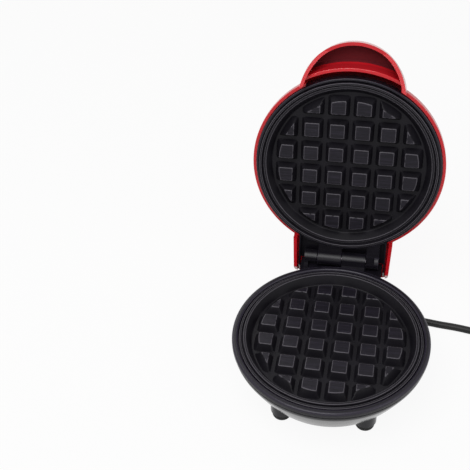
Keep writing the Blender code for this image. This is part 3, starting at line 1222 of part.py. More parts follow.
def main():
    clear_scene()
    black = material("black_gloss", (0.012, 0.012, 0.014), 0.22)
    charcoal = material("charcoal_satin", (0.020, 0.020, 0.023), 0.38)
    coating = material("non_stick", (0.018, 0.018, 0.022), 0.42, 0.2)
    red = material("red_gloss", (0.62, 0.020, 0.024), 0.16)
    pale_green = material("lens_green", (0.20, 0.62, 0.54), 0.25)
    rubber = material("black_rubber", (0.015, 0.015, 0.015), 0.75)
    steel = material("steel", (0.55, 0.55, 0.56), 0.32, 1.0)
    dark_steel = material("element_steel", (0.20, 0.19, 0.18), 0.45, 1.0)
    phenolic = material("phenolic", (0.05, 0.03, 0.02), 0.55)
    white = material("fuse_white", (0.75, 0.74, 0.70), 0.60)
    orange = material("lamp_glass", (0.75, 0.35, 0.15), 0.20)
    brass = material("brass", (0.62, 0.46, 0.20), 0.28, 1.0)

    base = empty("base_frame", (0, -ORIGIN_TO_AXIS, 0))
    pivot = empty("lid_hinge", (0, PIN_Y, PIN_Z), base)
    pivot.rotation_euler.x = -OPEN_ANGLE

    finished(make_base_bowl(), black, base)
    finished(make_base_rim(), charcoal, base)
    lower = waffle_plate("lower_plate", LOWER_TRAY_RISE, LOWER_RIDGE_RISE, LOWER_POST_CIRCLE,
        LOWER_POST_LENGTH, POST_ANGLES, SCREW_GRIP + OVERRUN)
    finished(moved(lower, Matrix.Translation((0, 0, LOWER_FACE))), coating, base)
    element = heating_element("lower_element", -PLATE_DEPTH, ELEMENT_LEG)
    element.data.transform(Matrix.Translation((0, 0, LOWER_FACE)) @ Matrix.Rotation(-math.pi / 2, 4, "Z"))
    finished(element, dark_steel, base)
    finished(make_reflector(), steel, base)
    finished(make_thermostat(), steel, base)
    finished(make_fuse(), white, base)
    finished(make_terminal_block(), phenolic, base, smooth=False)
    seat = BOWL_BOTTOM + COUNTERBORE_DEPTH - SEAT_GAP
    shank = REFLECTOR_TOP + SEAT_GAP - seat
    for i, angle in enumerate(POST_ANGLES, 1):
        made = screw(f"base_screw_{i}", SCREW_GRIP, shank)
        made.location = (*polar(LOWER_POST_CIRCLE, angle), seat)
        finished(made, steel, base)
    rounding = FOOT_ROUNDING * ROUNDING_SHARE
    for name, place in foot_places().items():
        foot = turned(name, (
            (0, 0), (FOOT_RADIUS - FOOT_ROUNDING, 0), (FOOT_RADIUS - rounding, rounding),
            (FOOT_RADIUS, FOOT_ROUNDING), (FOOT_RADIUS, FOOT_HEIGHT), (0, FOOT_HEIGHT),
        ), MIDDLE_STEPS)
        foot.location = (*place, 0)
        finished(foot, rubber, base)
    half_pin = HINGE_HALF - PIN_COVER - SEAT_GAP
    pin = cylinder("hinge_pin", PIN_RADIUS, -half_pin, half_pin)
    along_x(pin, Vector((0, PIN_Y, PIN_Z)), Vector((1, 0, 0)))
    finished(pin, steel, base)

    carried(make_lid_shell(), red, pivot)
    carried(make_lid_rim(), charcoal, pivot)
    upper = waffle_plate("upper_plate", UPPER_TRAY_RISE, UPPER_RIDGE_RISE, UPPER_POST_CIRCLE,
        UPPER_POST_LENGTH, [-a for a in EAR_ANGLES], LID_SCREW_GRIP + SEAT_GAP)
    over = Matrix.Translation((0, 0, UPPER_FACE)) @ Matrix.Rotation(math.pi, 4, "X")
    carried(moved(upper, over), coating, pivot)
    element = heating_element("upper_element", -PLATE_DEPTH, ELEMENT_LEG)
    element.data.transform(over @ Matrix.Rotation(math.pi / 2, 4, "Z"))
    carried(element, dark_steel, pivot)
    lid_seat = UPPER_FACE + PLATE_DEPTH + UPPER_POST_LENGTH + 2 * SEAT_GAP + EAR_THICKNESS
    for i, angle in enumerate(EAR_ANGLES, 1):
        made = screw(f"lid_screw_{i}", LID_SCREW_GRIP, EAR_THICKNESS)
        place = Matrix.Translation((*polar(UPPER_POST_CIRCLE, angle), lid_seat))
        carried(moved(made, place @ Matrix.Rotation(math.pi, 4, "X")), steel, pivot)
    for made, look in zip(make_lens_pieces(), (pale_green, black, white, orange)):
        carried(made, look, pivot)

    finished(make_relief(), rubber, base)
    place, way = relief_frame()
    coil = coil_path()
    start = (coil[0] - coil[1]).normalized()
    start.z = 0
    start.normalize()
    coil_line = straight_ends(coil, COIL_LEAD, PLUG_LEAD)
    leave = place + way * (RELIEF_LENGTH + SEAT_GAP)
    meet = coil_line[0] + start * SEAT_GAP
    laid = CORD_DIAMETER / 2 + CORD_LAY
    route = [leave, leave + way * CORD_DIAMETER] + [
        Vector((HEEL_HALF_WIDTH + aside, RELIEF_Y + behind, laid)) for aside, behind in CORD_ROUTE
    ]
    route += [meet + start * COIL_LEAD, meet]
    stretch = smooth_points(route, CORD_POINTS)
    for point in stretch:
        point.z = max(point.z, laid)
    finished(tube("power_cord", stretch, CORD_DIAMETER / 2, 2), rubber, base)
    finished(tube("cord_coil", coil_line, CORD_DIAMETER / 2, 1), rubber, base)
    finished(make_tie(coil), rubber, base)
    end = (coil_line[-1] - coil_line[-2]).normalized()
    plug, blades = make_plug(coil_line[-1] + end * SEAT_GAP, end)
    finished(plug, rubber, base)
    for blade in blades:
        finished(blade, brass, base)

    free = sum((b - a).length for a, b in zip(route, route[1:]))
    wound = sum((b - a).length for a, b in zip(coil_line, coil_line[1:]))
    gap = least_gap(coil, CORD_DIAMETER)
    print(f"cord {free + wound:.3f} m of {CORD_LENGTH} m, least gap in the coil {gap * 1000:.2f} mm")


main()
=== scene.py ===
"""Mini round waffle maker, open on a table, dressed over its CAD frame.

Shapes are drawn shut and in millimetres round the base's own axis. Each piece is then put in its
place in metres, and the lid's pieces are turned open about the hinge pin.
"""

import math

import bmesh
import bpy
from mathutils import Matrix, Vector


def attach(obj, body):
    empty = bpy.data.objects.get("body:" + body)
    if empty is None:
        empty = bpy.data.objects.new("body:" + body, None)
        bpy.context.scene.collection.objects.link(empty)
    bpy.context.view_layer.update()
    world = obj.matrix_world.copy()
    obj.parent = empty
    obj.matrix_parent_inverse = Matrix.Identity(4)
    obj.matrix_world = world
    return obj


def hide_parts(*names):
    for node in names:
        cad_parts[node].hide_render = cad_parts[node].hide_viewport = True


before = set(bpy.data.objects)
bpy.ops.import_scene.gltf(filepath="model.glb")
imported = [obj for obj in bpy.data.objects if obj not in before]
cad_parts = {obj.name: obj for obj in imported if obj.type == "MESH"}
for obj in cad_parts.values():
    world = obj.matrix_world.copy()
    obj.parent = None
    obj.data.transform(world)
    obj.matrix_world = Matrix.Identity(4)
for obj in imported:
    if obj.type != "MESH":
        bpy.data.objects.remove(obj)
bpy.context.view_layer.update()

# Sizes shared by several pieces, in millimetres
AXIS_BEHIND = -30.0
OPEN_TURN = math.radians(-103.5)
BODY = 63.5
SEAT = 0.3
OVER = 4.0
ROUND = 144
FINE = 48
CREASE = math.radians(30)
ARC_STEP = math.radians(15)
EDGE_WIDTH = 0.5
EDGE_TURN = math.radians(5)
SLOPE_MATT = 0.6
NEAR = 0.01
METRE = 0.001

# Heights of the shut object
PAD_LOW = 5.8
BOWL_LOW = 6.5
BOWL_HIGH = 39.0
RIM_LOW = 39.3
RIM_HIGH = 44.3
LOWER_FACE = 43.0
UPPER_FACE = 46.0
PIN_Y, PIN_Z = 69.4, 45.7
SHELL_LOW = 48.0
BAND_HIGH = 53.4
DOME_LOW = 54.4
DOME_RISE = 24.0
DOME_HIGH = DOME_LOW + DOME_RISE
DOME_RADIUS = 62.1
DOME_WALL = 2.0
LID_SEAT = SHELL_LOW + 5.2
BEAD_IN = BODY - 4.0

# Hinge
BARREL = 5.0
HINGE_HALF = 25.55
INNER_KNUCKLE = 16.2
OUTER_KNUCKLE = 8.6
KNUCKLE_GAP = 0.5
PIN_BORE = 1.8
ROOF_INSIDE = 6.4
HEEL_HALF = 28.2
HEEL_FRONT = 44.0
COVER_BACK = 15.4
LEAF_HALF = 29.9
LEAF_THICK = 0.9
LEAF_LOW = PIN_Z + BARREL + 0.2

# Plates
PLATE_RADIUS = 58.9
TRAY_RADIUS = 55.3
TRAY_FLOOR = 51.0
LEDGE = 57.2
LEDGE_THICK = 2.0
PITCH = 16.5
BLOCK_DEEP = 5.0
PLATE_DEEP = 7.0
LOWER_POST, LOWER_CIRCLE, LOWER_ANGLES = 16.9, 40.0, (90, 210, 330)
UPPER_POST, UPPER_CIRCLE, UPPER_ANGLES = 2.2, 44.0, (30, 150, 270)

# Lead
CORD_THICK = 5.0
RELIEF_SPOT = (HEEL_HALF, 60.0, 12.8)
RELIEF_TILT = math.radians(20)
RELIEF_LONG = 20.0


# Mesh tools

def new_object(name, data):
    made = bpy.data.objects.new(name, data)
    bpy.context.scene.collection.objects.link(made)
    return made


def solid(name, points, faces):
    """A closed mesh with its faces outwards."""
    work = bmesh.new()
    corners = [work.verts.new(p) for p in points]
    for face in faces:
        work.faces.new([corners[i] for i in face])
    bmesh.ops.recalc_face_normals(work, faces=work.faces)
    mesh = bpy.data.meshes.new(name)
    work.to_mesh(mesh)
    work.free()
    return new_object(name, mesh)


def arc(centre, radius, start, end, steps):
    turns = [start + (end - start) * i / steps for i in range(steps + 1)]
    return [(centre[0] + radius * math.cos(t), centre[1] + radius * math.sin(t)) for t in turns]


def polar(radius, degrees):
    return radius * math.cos(math.radians(degrees)), radius * math.sin(math.radians(degrees))


def filleted(corners, closed=True):
    """The outline with an arc at each corner that gives a radius as its third number."""
    line = []
    last = len(corners) - 1
    for i, corner in enumerate(corners):
        at = Vector(corner[:2])
        if len(corner) < 3 or (not closed and i in (0, last)):
            line.append((at.x, at.y))
            continue
        back = Vector(corners[i - 1][:2]) - at
        ahead = Vector(corners[(i + 1) % len(corners)][:2]) - at
        half = back.angle(ahead) / 2
        reach = min(corner[2] / math.tan(half), back.length * 0.49, ahead.length * 0.49)
        back.normalize()
        ahead.normalize()
        centre = at + (back + ahead).normalized() * (reach / math.cos(half))
        spoke = at + back * reach - centre
        sweep = math.pi - 2 * half
        if back.cross(ahead) > 0:
            sweep = -sweep
        steps = max(2, round(abs(sweep) / ARC_STEP))
        for k in range(steps + 1):
            turn = sweep * k / steps
            line.append((
                centre.x + spoke.x * math.cos(turn) - spoke.y * math.sin(turn),
                centre.y + spoke.x * math.sin(turn) + spoke.y * math.cos(turn),
            ))
    return line


def turned(name, profile, steps=ROUND):
    """A body of revolution round Z, from its section's outline."""
    points, rows = [], []
    for radius, height in profile:
        if radius < 1e-6:
            rows.append([len(points)] * steps)
            points.append((0, 0, height))
            continue
        rows.append(range(len(points), len(points) + steps))
        for i in range(steps):
            turn = math.tau * (i + 0.5) / steps
            points.append((radius * math.cos(turn), radius * math.sin(turn), height))
    faces = []
    for row, following in zip(rows, rows[1:] + rows[:1]):
        for i in range(steps):
            j = (i + 1) % steps
            corners = list(dict.fromkeys((row[i], row[j], following[j], following[i])))
            if len(corners) > 2:
                faces.append(corners)
    return solid(name, points, faces)


def spun(name, corners, closed=True, steps=ROUND):
    """A body of revolution whose section has rounded corners."""
    return turned(name, filleted(corners, closed), steps)


def lofted(name, rings):
    """A closed body through rings of as many points each, with a flat face at each end."""
    count = len(rings[0])
    points = [p for ring in rings for p in ring]
    faces = [list(range(count)), list(range(len(points) - count, len(points)))]
    for k in range(len(rings) - 1):
        for i in range(count):
            j = (i + 1) % count
            first = k * count
            faces.append([first + i, first + j, first + count + j, first + count + i])
    return solid(name, points, faces)


def prism(name, outline, start, end, along="Z"):
    """An outline in (x, y) drawn out along Z, or one in (y, z) along X."""
    place = (lambda a, b, c: (a, b, c)) if along == "Z" else (lambda a, b, c: (c, a, b))
    return lofted(name, [[place(a, b, level) for a, b in outline] for level in (start, end)])


def rod(name, radius, low, high, place=(0, 0), steps=FINE):
    return moved(turned(name, ((0, low), (radius, low), (radius, high), (0, high)), steps), *place)


def block(name, low, high):
    outline = ((low[0], low[1]), (high[0], low[1]), (high[0], high[1]), (low[0], high[1]))
    return prism(name, outline, low[2], high[2])


def shifted(obj, matrix):
    obj.data.transform(matrix)
    if matrix.determinant() < 0:
        obj.data.flip_normals()
    return obj


def moved(obj, x=0.0, y=0.0, z=0.0):
    return shifted(obj, Matrix.Translation((x, y, z)))


def pointed(obj, place, way):
    """A piece drawn up +Z, turned to run along way from place."""
    way = Vector(way)
    return shifted(obj, Matrix.Translation(place) @ way.to_track_quat("Z", "Y").to_matrix().to_4x4())


def eased(obj, width, chosen, steps=3):
    """Rounds the edges for which chosen(first point, second point) holds."""
    work = bmesh.new()
    work.from_mesh(obj.data)
    edges = [e for e in work.edges if chosen(e.verts[0].co, e.verts[1].co)]
    bmesh.ops.bevel(
        work, geom=edges, offset=width, segments=steps, profile=0.5, affect="EDGES", clamp_overlap=True,
    )
    work.to_mesh(obj.data)
    work.free()
    return obj


def end_edges(least, axis="y"):
    """Chooses the edges round a prism's ends along X that lie beyond this y or z."""
    return lambda a, b: abs(a.x - b.x) < NEAR and min(getattr(a, axis), getattr(b, axis)) > least


def top_edges(height):
    return lambda a, b: min(a.z, b.z) > height - NEAR


def gathered(name, *pieces):
    """Several meshes in one object."""
    work = bmesh.new()
    for piece in pieces:
        work.from_mesh(piece.data)
        bpy.data.objects.remove(piece)
    mesh = bpy.data.meshes.new(name)
    work.to_mesh(mesh)
    work.free()
    return new_object(name, mesh)


def plain_mesh(obj):
    """The object with its modifiers worked into its mesh."""
    graph = bpy.context.evaluated_depsgraph_get()
    mesh = bpy.data.meshes.new_from_object(obj.evaluated_get(graph))
    obj.modifiers.clear()
    obj.data = mesh
    return obj


def combined(obj, operation, *others):
    """The Boolean of obj with each of the others in turn, which are used up."""
    for other in others:
        modifier = obj.modifiers.new(operation.lower(), "BOOLEAN")
        modifier.operation = operation
        modifier.solver = "EXACT"
        modifier.object = other
        plain_mesh(obj)
        bpy.data.objects.remove(other)
    return obj


def marked(obj, name, share):
    """Keeps a number for each point of the mesh, for its material to read."""
    kept = obj.data.attributes.new(name, "FLOAT", "POINT")
    for item, corner in zip(kept.data, obj.data.vertices):
        item.value = share(corner.co)
    return obj


def edged(obj):
    """Keeps 1 for each of the narrow faces that round an outer edge, 0 for the others; the satin and coating
    looks paint a highlight on the faces marked 1.
    """
    work = bmesh.new()
    work.from_mesh(obj.data)
    kept = []
    for face in work.faces:
        longest = max(face.edges, key=lambda e: e.calc_length())
        width = face.calc_area() / longest.calc_length()
        kept.append(float(width < EDGE_WIDTH and longest.calc_face_angle_signed(0) > EDGE_TURN))
    work.free()
    obj.data.attributes.new("edge", "FLOAT", "FACE").data.foreach_set("value", kept)
    return obj


def smooth_route(route, count, pieces=24):
    """Evenly spaced points on a smooth curve through the route."""
    padded = [route[0] * 2 - route[1]] + route + [route[-1] * 2 - route[-2]]
    fine = []
    for i in range(1, len(padded) - 2):
        p0, p1, p2, p3 = padded[i - 1:i + 3]
        for t in (k / pieces for k in range(pieces)):
            fine.append((
                p1 * 2 + (p2 - p0) * t + (p0 * 2 - p1 * 5 + p2 * 4 - p3) * t * t
                + (p1 * 3 - p0 - p2 * 3 + p3) * t ** 3
            ) / 2)
    fine.append(route[-1])
    lengths = [0.0]
    for a, b in zip(fine, fine[1:]):
        lengths.append(lengths[-1] + (b - a).length)
    found, at = [], 0
    for i in range(count):
        target = lengths[-1] * i / (count - 1)
        while at < len(fine) - 2 and lengths[at + 1] < target:
            at += 1
        share = (target - lengths[at]) / (lengths[at + 1] - lengths[at])
        found.append(fine[at].lerp(fine[at + 1], min(share, 1)))
    return found


# Node trees

class Level:
    """A number in a node tree, with sums written as Python writes them."""

    def __init__(self, nodes, socket):
        self.nodes = nodes
        self.socket = socket

    def sum(self, operation, first, second=0.0):
        return self.nodes.node("ShaderNodeMath", {"operation": operation}, {0: first, 1: second})

    def __add__(self, other):
        return self.sum("ADD", self, other)

    def __sub__(self, other):
        return self.sum("SUBTRACT", self, other)

    def __rsub__(self, other):
        return self.sum("SUBTRACT", other, self)

    def __mul__(self, other):
        return self.sum("MULTIPLY", self, other)

    def __truediv__(self, other):
        return self.sum("DIVIDE", self, other)

    def __rtruediv__(self, other):
        return self.sum("DIVIDE", other, self)

    def above(self, other):
        return self.sum("MAXIMUM", self, other)

    def root(self):
        return self.sum("SQRT", self)

    __radd__ = __add__
    __rmul__ = __mul__


class Nodes:
    """A node tree, and one method that adds any node to it."""

    def __init__(self, tree):
        self.tree = tree

    def node(self, kind, settings=None, sockets=None, output=0):
        made = self.tree.nodes.new(kind)
        for key, value in (settings or {}).items():
            setattr(made, key, value)
        for key, value in (sockets or {}).items():
            if isinstance(value, Level):
                self.tree.links.new(value.socket, made.inputs[key])
            else:
                made.inputs[key].default_value = value
        return Level(self, made.outputs[output])

    def seen(self):
        """1 for a ray from the camera, off gloss or through glass, 0 for any other."""
        rays = [f"Is {ray} Ray" for ray in ("Camera", "Glossy", "Transmission")]
        camera, gloss, glass = (self.node("ShaderNodeLightPath", output=ray) for ray in rays)
        return camera.above(gloss).above(glass)


# Tools for what repeats

class Grower(Nodes):
    """A node tree that sets out a small shape many times, as plain faces with one material."""

    def __init__(self, name, inputs):
        super().__init__(bpy.data.node_groups.new(name, "GeometryNodeTree"))
        for key, kind in (*inputs.items(), ("Finish", "Material")):
            self.tree.interface.new_socket(key, in_out="INPUT", socket_type="NodeSocket" + kind)
        self.tree.interface.new_socket("Geometry", in_out="OUTPUT", socket_type="NodeSocketGeometry")
        given = self.tree.nodes.new("NodeGroupInput").outputs
        self.given = {key: Level(self, given[key]) for key in (*inputs, "Finish")}

    def vector(self, x=0.0, y=0.0, z=0.0):
        return self.node("ShaderNodeCombineXYZ", None, {"X": x, "Y": y, "Z": z})

    def square_grid(self):
        """Rows by Rows points, Pitch apart."""
        rows = self.given["Rows"]
        span = (rows - 1.0) * self.given["Pitch"]
        return self.node("GeometryNodeMeshGrid", None, {
            "Size X": span, "Size Y": span, "Vertices X": rows, "Vertices Y": rows,
        })

    def end(self, points, shape, scale=(1.0, 1.0, 1.0)):
        """Sets the shape on each point, and makes all of them plain faces with the finish."""
        shape = self.node("GeometryNodeObjectInfo", None, {"Object": self.given[shape]}, "Geometry")
        spread = self.node("GeometryNodeInstanceOnPoints", None, {
            "Points": points, "Instance": shape, "Scale": scale,
        })
        real = self.node("GeometryNodeRealizeInstances", None, {"Geometry": spread})
        dressed = self.node("GeometryNodeSetMaterial", None, {
            "Geometry": real, "Material": self.given["Finish"],
        })
        self.tree.links.new(dressed.socket, self.tree.nodes.new("NodeGroupOutput").inputs[0])
        return self.tree


def grown(name, tree, **values):
    """The plain mesh that a node tree makes from these inputs."""
    made = new_object(name, bpy.data.meshes.new(name))
    modifier = made.modifiers.new(name, "NODES")
    modifier.node_group = tree
    sockets = {s.name: s.identifier for s in tree.interface.items_tree if s.in_out == "INPUT"}
    for key, value in values.items():
        modifier[sockets[key]] = value
    return plain_mesh(made)


def rib_tree():
    """Sets Count ribs in a row from z = Start, Pitch apart, each smaller than the last by Taper."""
    tree = Grower("rib_row", {
        "Rib": "Object", "Count": "Int", "Start": "Float", "Pitch": "Float", "Taper": "Float",
    })
    row = tree.node("GeometryNodeMeshLine", None, {
        "Count": tree.given["Count"], "Start Location": tree.vector(z=tree.given["Start"]),
        "Offset": tree.vector(z=tree.given["Pitch"]),
    })
    size = 1.0 - tree.node("GeometryNodeInputIndex") * tree.given["Taper"]
    return tree.end(row, "Rib", tree.vector(size, size, 1.0))


def block_tree():
    """Sets a block on each point of a square grid."""
    tree = Grower("waffle_grid", {"Block": "Object", "Rows": "Int", "Pitch": "Float"})
    return tree.end(tree.square_grid(), "Block")


def dimple_tree():
    """Sets a dot on each point of a square grid within Reach, lifted onto the crown."""
    tree = Grower("lens_dimples", {
        "Dot": "Object", "Rows": "Int", "Pitch": "Float", "Reach": "Float", "Crown": "Float", "Rise": "Float",
    })
    spot = tree.node("GeometryNodeInputPosition")
    far = tree.node("ShaderNodeVectorMath", {"operation": "LENGTH"}, {0: spot}, "Value")
    beyond = tree.node("FunctionNodeCompare", {"operation": "GREATER_THAN"}, {
        0: far, 1: tree.given["Reach"],
    })
    kept = tree.node("GeometryNodeDeleteGeometry", None, {
        "Geometry": tree.square_grid(), "Selection": beyond,
    })
    share = far / tree.given["Crown"]
    lift = tree.vector(z=(1.0 - share * share).root() * tree.given["Rise"])
    lifted = tree.node("GeometryNodeSetPosition", None, {"Geometry": kept, "Offset": lift})
    return tree.end(lifted, "Dot")


RIBS, GRID, DIMPLES = rib_tree(), block_tree(), dimple_tree()


# Materials

class Look(Nodes):
    """A material built from nodes on a Principled shader."""

    def __init__(self, name, **constants):
        self.material = bpy.data.materials.new(name)
        self.material.use_nodes = True
        super().__init__(self.material.node_tree)
        self.shader = self.tree.nodes["Principled BSDF"]
        for key, value in constants.items():
            self.shader.inputs[key.replace("_", " ").title().replace("Ior", "IOR")].default_value = value

    def place(self, stretch=(1, 1, 1)):
        spot = self.node("ShaderNodeTexCoord", output="Object")
        return self.node("ShaderNodeMapping", None, {"Vector": spot, "Scale": stretch})

    def noise(self, scale, detail=3.0, stretch=(1, 1, 1), roughness=0.5):
        return self.node("ShaderNodeTexNoise", None, {
            "Vector": self.place(stretch), "Scale": scale, "Detail": detail, "Roughness": roughness,
        })

    def spots(self, scale, size, stretch=(1, 1, 1)):
        """1 in small dots, 0 between them."""
        far = self.node("ShaderNodeTexVoronoi", None, {"Vector": self.place(stretch), "Scale": scale})
        return self.between(far, size, size * 0.6)

    def read(self, name):
        """The number that the mesh keeps under this name."""
        return self.node("ShaderNodeAttribute", {"attribute_name": name}, output=2)

    def between(self, value, low, high):
        """value as a share of the way from low to high, held from 0 to 1."""
        return self.node("ShaderNodeMapRange", {"clamp": True}, {
            "Value": value, "From Min": low, "From Max": high,
        })

    def tint(self, share, first, second):
        """A colour that share of the way from the first to the second."""
        return self.node("ShaderNodeMix", {"data_type": "RGBA"}, {0: share, 6: first, 7: second}, 2)

    def bump(self, height, strength, distance):
        return self.node("ShaderNodeBump", None, {
            "Height": height, "Strength": strength, "Distance": distance,
        })

    def set(self, **links):
        for key, value in links.items():
            self.tree.links.new(value.socket, self.shader.inputs[key.replace("_", " ").title()])
        return self.material


def grey(value, warmth=0.0):
    return (value * (1 + warmth), value, value * (1 - warmth), 1.0)


def ink(value):
    """A black with a little violet in it."""
    return (value, value * 0.85, value * 1.35, 1.0)


def red_plastic():
    look = Look("red_plastic", coat_roughness=0.04, specular_ior_level=0.25)
    flow = look.noise(38.0, 2.0, (1, 1, 2.5))
    peel = look.noise(620.0, 2.0)
    matt = look.read("matt")
    colour = look.tint(look.between(flow, 0.35, 0.65), (0.60, 0.010, 0.018, 1), (0.66, 0.013, 0.022, 1))
    # Where the mask is 1, inside the grip's hollow, its notch and the hinge cover, the red is darkened:
    # painted shade.
    colour = look.tint(look.between(matt, SLOPE_MATT, 1.0), colour, (0.13, 0.008, 0.013, 1))
    dust = look.spots(900.0, 0.06)
    colour = look.tint(dust * 0.25, colour, (0.80, 0.30, 0.28, 1))
    # The same mask makes those faces and the grip's slopes rougher and takes their coat away: a matt finish.
    gloss = 0.16 + look.between(peel, 0.3, 0.7) * 0.05 + dust * 0.2 + matt * 0.6
    return look.set(base_color=colour, roughness=gloss, coat_weight=0.3 - matt * 0.3,
        normal=look.bump(peel, 0.05, 0.0002))


def black_plastic():
    look = Look("black_plastic", coat_weight=0.1, coat_roughness=0.04, specular_ior_level=0.22)
    flow = look.noise(45.0, 3.0)
    peel = look.noise(700.0, 2.0)
    dust = look.spots(1100.0, 0.07)
    colour = look.tint(look.between(flow, 0.35, 0.65), ink(0.006), ink(0.009))
    colour = look.tint(dust * 0.12, colour, grey(0.25))
    gloss = 0.17 + look.between(flow, 0.3, 0.7) * 0.06 + dust * 0.3
    return look.set(base_color=colour, roughness=gloss, normal=look.bump(peel, 0.05, 0.0002))


def satin_plastic():
    look = Look("satin_plastic", specular_ior_level=0.26)
    grain = look.noise(2600.0, 3.0)
    flow = look.noise(60.0, 3.0)
    edge = look.read("edge")
    colour = look.tint(look.between(flow, 0.35, 0.65), ink(0.005), ink(0.008))
    # The narrow faces round outer edges get a lighter black and less roughness: a painted highlight.
    colour = look.tint(edge, colour, ink(0.025))
    gloss = 0.26 + look.between(grain, 0.3, 0.7) * 0.14 - edge * 0.08
    return look.set(base_color=colour, roughness=gloss, normal=look.bump(grain, 0.18, 0.0001))


def non_stick_coating():
    look = Look("non_stick_coating", specular_ior_level=0.2)
    depth = look.read("depth")
    grain = look.noise(3200.0, 4.0)
    flow = look.noise(52.0, 4.0)
    fleck = look.spots(2600.0, 0.16)
    lines = look.noise(2600.0, 1.0, (0.02, 1, 1))
    level = look.between(depth, 0.02, 0.0)
    edge = look.read("edge") * look.between(depth, 0.12, 0.08)
    colour = look.tint(look.between(flow, 0.35, 0.65), ink(0.004), ink(0.006))
    # Block faces are painted a lighter black than the slopes and floor between the blocks: painted shade in
    # the channels.
    colour = look.tint(level, colour, ink(0.008))
    colour = look.tint(level * look.between(lines, 0.5, 0.66), colour, ink(0.020))
    colour = look.tint(fleck * 0.4, colour, ink(0.04))
    # Rounded edges of the block faces get a lighter grey and less roughness: a painted highlight.
    colour = look.tint(edge, colour, (0.075, 0.069, 0.082, 1))
    gloss = 0.48 - level * 0.14 - edge * 0.16 + look.between(flow, 0.3, 0.7) * 0.06
    return look.set(base_color=colour, roughness=gloss, normal=look.bump(grain, 0.3, 0.00012))


def lens_plastic():
    look = Look("lens_plastic", coat_weight=0.4, subsurface_weight=0.15, subsurface_scale=0.002)
    flow = look.noise(160.0, 3.0)
    peel = look.noise(1500.0, 2.0)
    colour = look.tint(look.between(flow, 0.3, 0.7), (0.035, 0.34, 0.26, 1), (0.06, 0.44, 0.35, 1))
    gloss = 0.16 + look.between(peel, 0.3, 0.7) * 0.08
    return look.set(base_color=colour, roughness=gloss, normal=look.bump(peel, 0.08, 0.0001))


def rubber(name, shade, gloss_low):
    look = Look(name, specular_ior_level=0.25)
    grain = look.noise(1900.0, 4.0)
    flow = look.noise(70.0, 3.0)
    dust = look.spots(1300.0, 0.1)
    colour = look.tint(look.between(flow, 0.35, 0.65), grey(shade), grey(shade * 1.6))
    colour = look.tint(dust * 0.2, colour, grey(0.2))
    gloss = gloss_low + look.between(grain, 0.3, 0.7) * 0.16
    return look.set(base_color=colour, roughness=gloss, normal=look.bump(grain, 0.25, 0.00015))


def metal(name, dark, light, gloss_low, stretch=(1, 1, 1)):
    look = Look(name, metallic=1.0)
    scratches = look.noise(900.0, 4.0, stretch)
    stain = look.noise(55.0, 3.0)
    colour = look.tint(look.between(stain, 0.35, 0.65), dark, light)
    gloss = gloss_low + look.between(scratches, 0.3, 0.7) * 0.2
    return look.set(base_color=colour, roughness=gloss, normal=look.bump(scratches, 0.1, 0.0001))


def moulding(name, dark, light, gloss_low, specks=0.0):
    look = Look(name)
    grain = look.noise(1200.0, 3.0)
    flow = look.noise(120.0, 4.0)
    colour = look.tint(look.between(flow, 0.3, 0.7), dark, light)
    colour = look.tint(look.spots(1500.0, 0.2) * specks, colour, grey(0.1))
    gloss = gloss_low + look.between(grain, 0.3, 0.7) * 0.15
    return look.set(base_color=colour, roughness=gloss, normal=look.bump(grain, 0.2, 0.0001))


RED = red_plastic()
BLACK = black_plastic()
SATIN = satin_plastic()
COATING = non_stick_coating()
LENS = lens_plastic()
FOOT_RUBBER = rubber("foot_rubber", 0.008, 0.6)
VINYL = rubber("cord_vinyl", 0.010, 0.34)
STEEL = metal("bright_steel", grey(0.5), grey(0.62, 0.02), 0.22, (1, 1, 6))
TUBE_STEEL = metal("heater_steel", (0.16, 0.13, 0.12, 1), (0.24, 0.22, 0.25, 1), 0.34)
BRASS = metal("plug_brass", (0.58, 0.42, 0.17, 1), (0.68, 0.52, 0.25, 1), 0.2, (6, 1, 1))
BROWN = moulding("brown_moulding", (0.045, 0.026, 0.016, 1), (0.065, 0.036, 0.024, 1), 0.45, 0.3)
CERAMIC = moulding("white_ceramic", grey(0.70, 0.03), grey(0.78, 0.03), 0.5, 0.15)
GLASS = moulding("lamp_bulb", (0.70, 0.30, 0.12, 1), (0.80, 0.40, 0.18, 1), 0.12)


# Putting a piece in its place

BASE_PLACE = Matrix.Translation((0, AXIS_BEHIND, 0))
TO_PIN = Matrix.Translation((0, PIN_Y, PIN_Z))
LID_PLACE = BASE_PLACE @ TO_PIN @ Matrix.Rotation(OPEN_TURN, 4, "X") @ TO_PIN.inverted()
METRES = Matrix.Scale(METRE, 4)


def finished(obj, body, look, slot, *nodes):
    """Puts the piece in its place in metres, with its look, and in the place of its CAD nodes."""
    # Marks the narrow edge faces on which these looks paint a highlight.
    if look in (SATIN, COATING):
        edged(obj)
    place = METRES @ (LID_PLACE if body == "lid" else BASE_PLACE)
    obj.data.transform(place)
    obj.data.name = obj.name
    obj.data.materials.clear()
    obj.data.materials.append(look)
    if obj.type == "MESH":
        for face in obj.data.polygons:
            face.material_index = 0
        obj.data.shade_smooth()
        obj.data.set_sharp_from_angle(angle=CREASE)
        weighted = obj.modifiers.new("even_normals", "WEIGHTED_NORMAL")
        weighted.keep_sharp = True
        plain_mesh(obj)
        obj.data.name = obj.name
    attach(obj, body)
    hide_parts(*nodes)
    return obj


def world_point(x, y, z):
    return BASE_PLACE @ Vector((x, y, z)) * METRE


# Camera

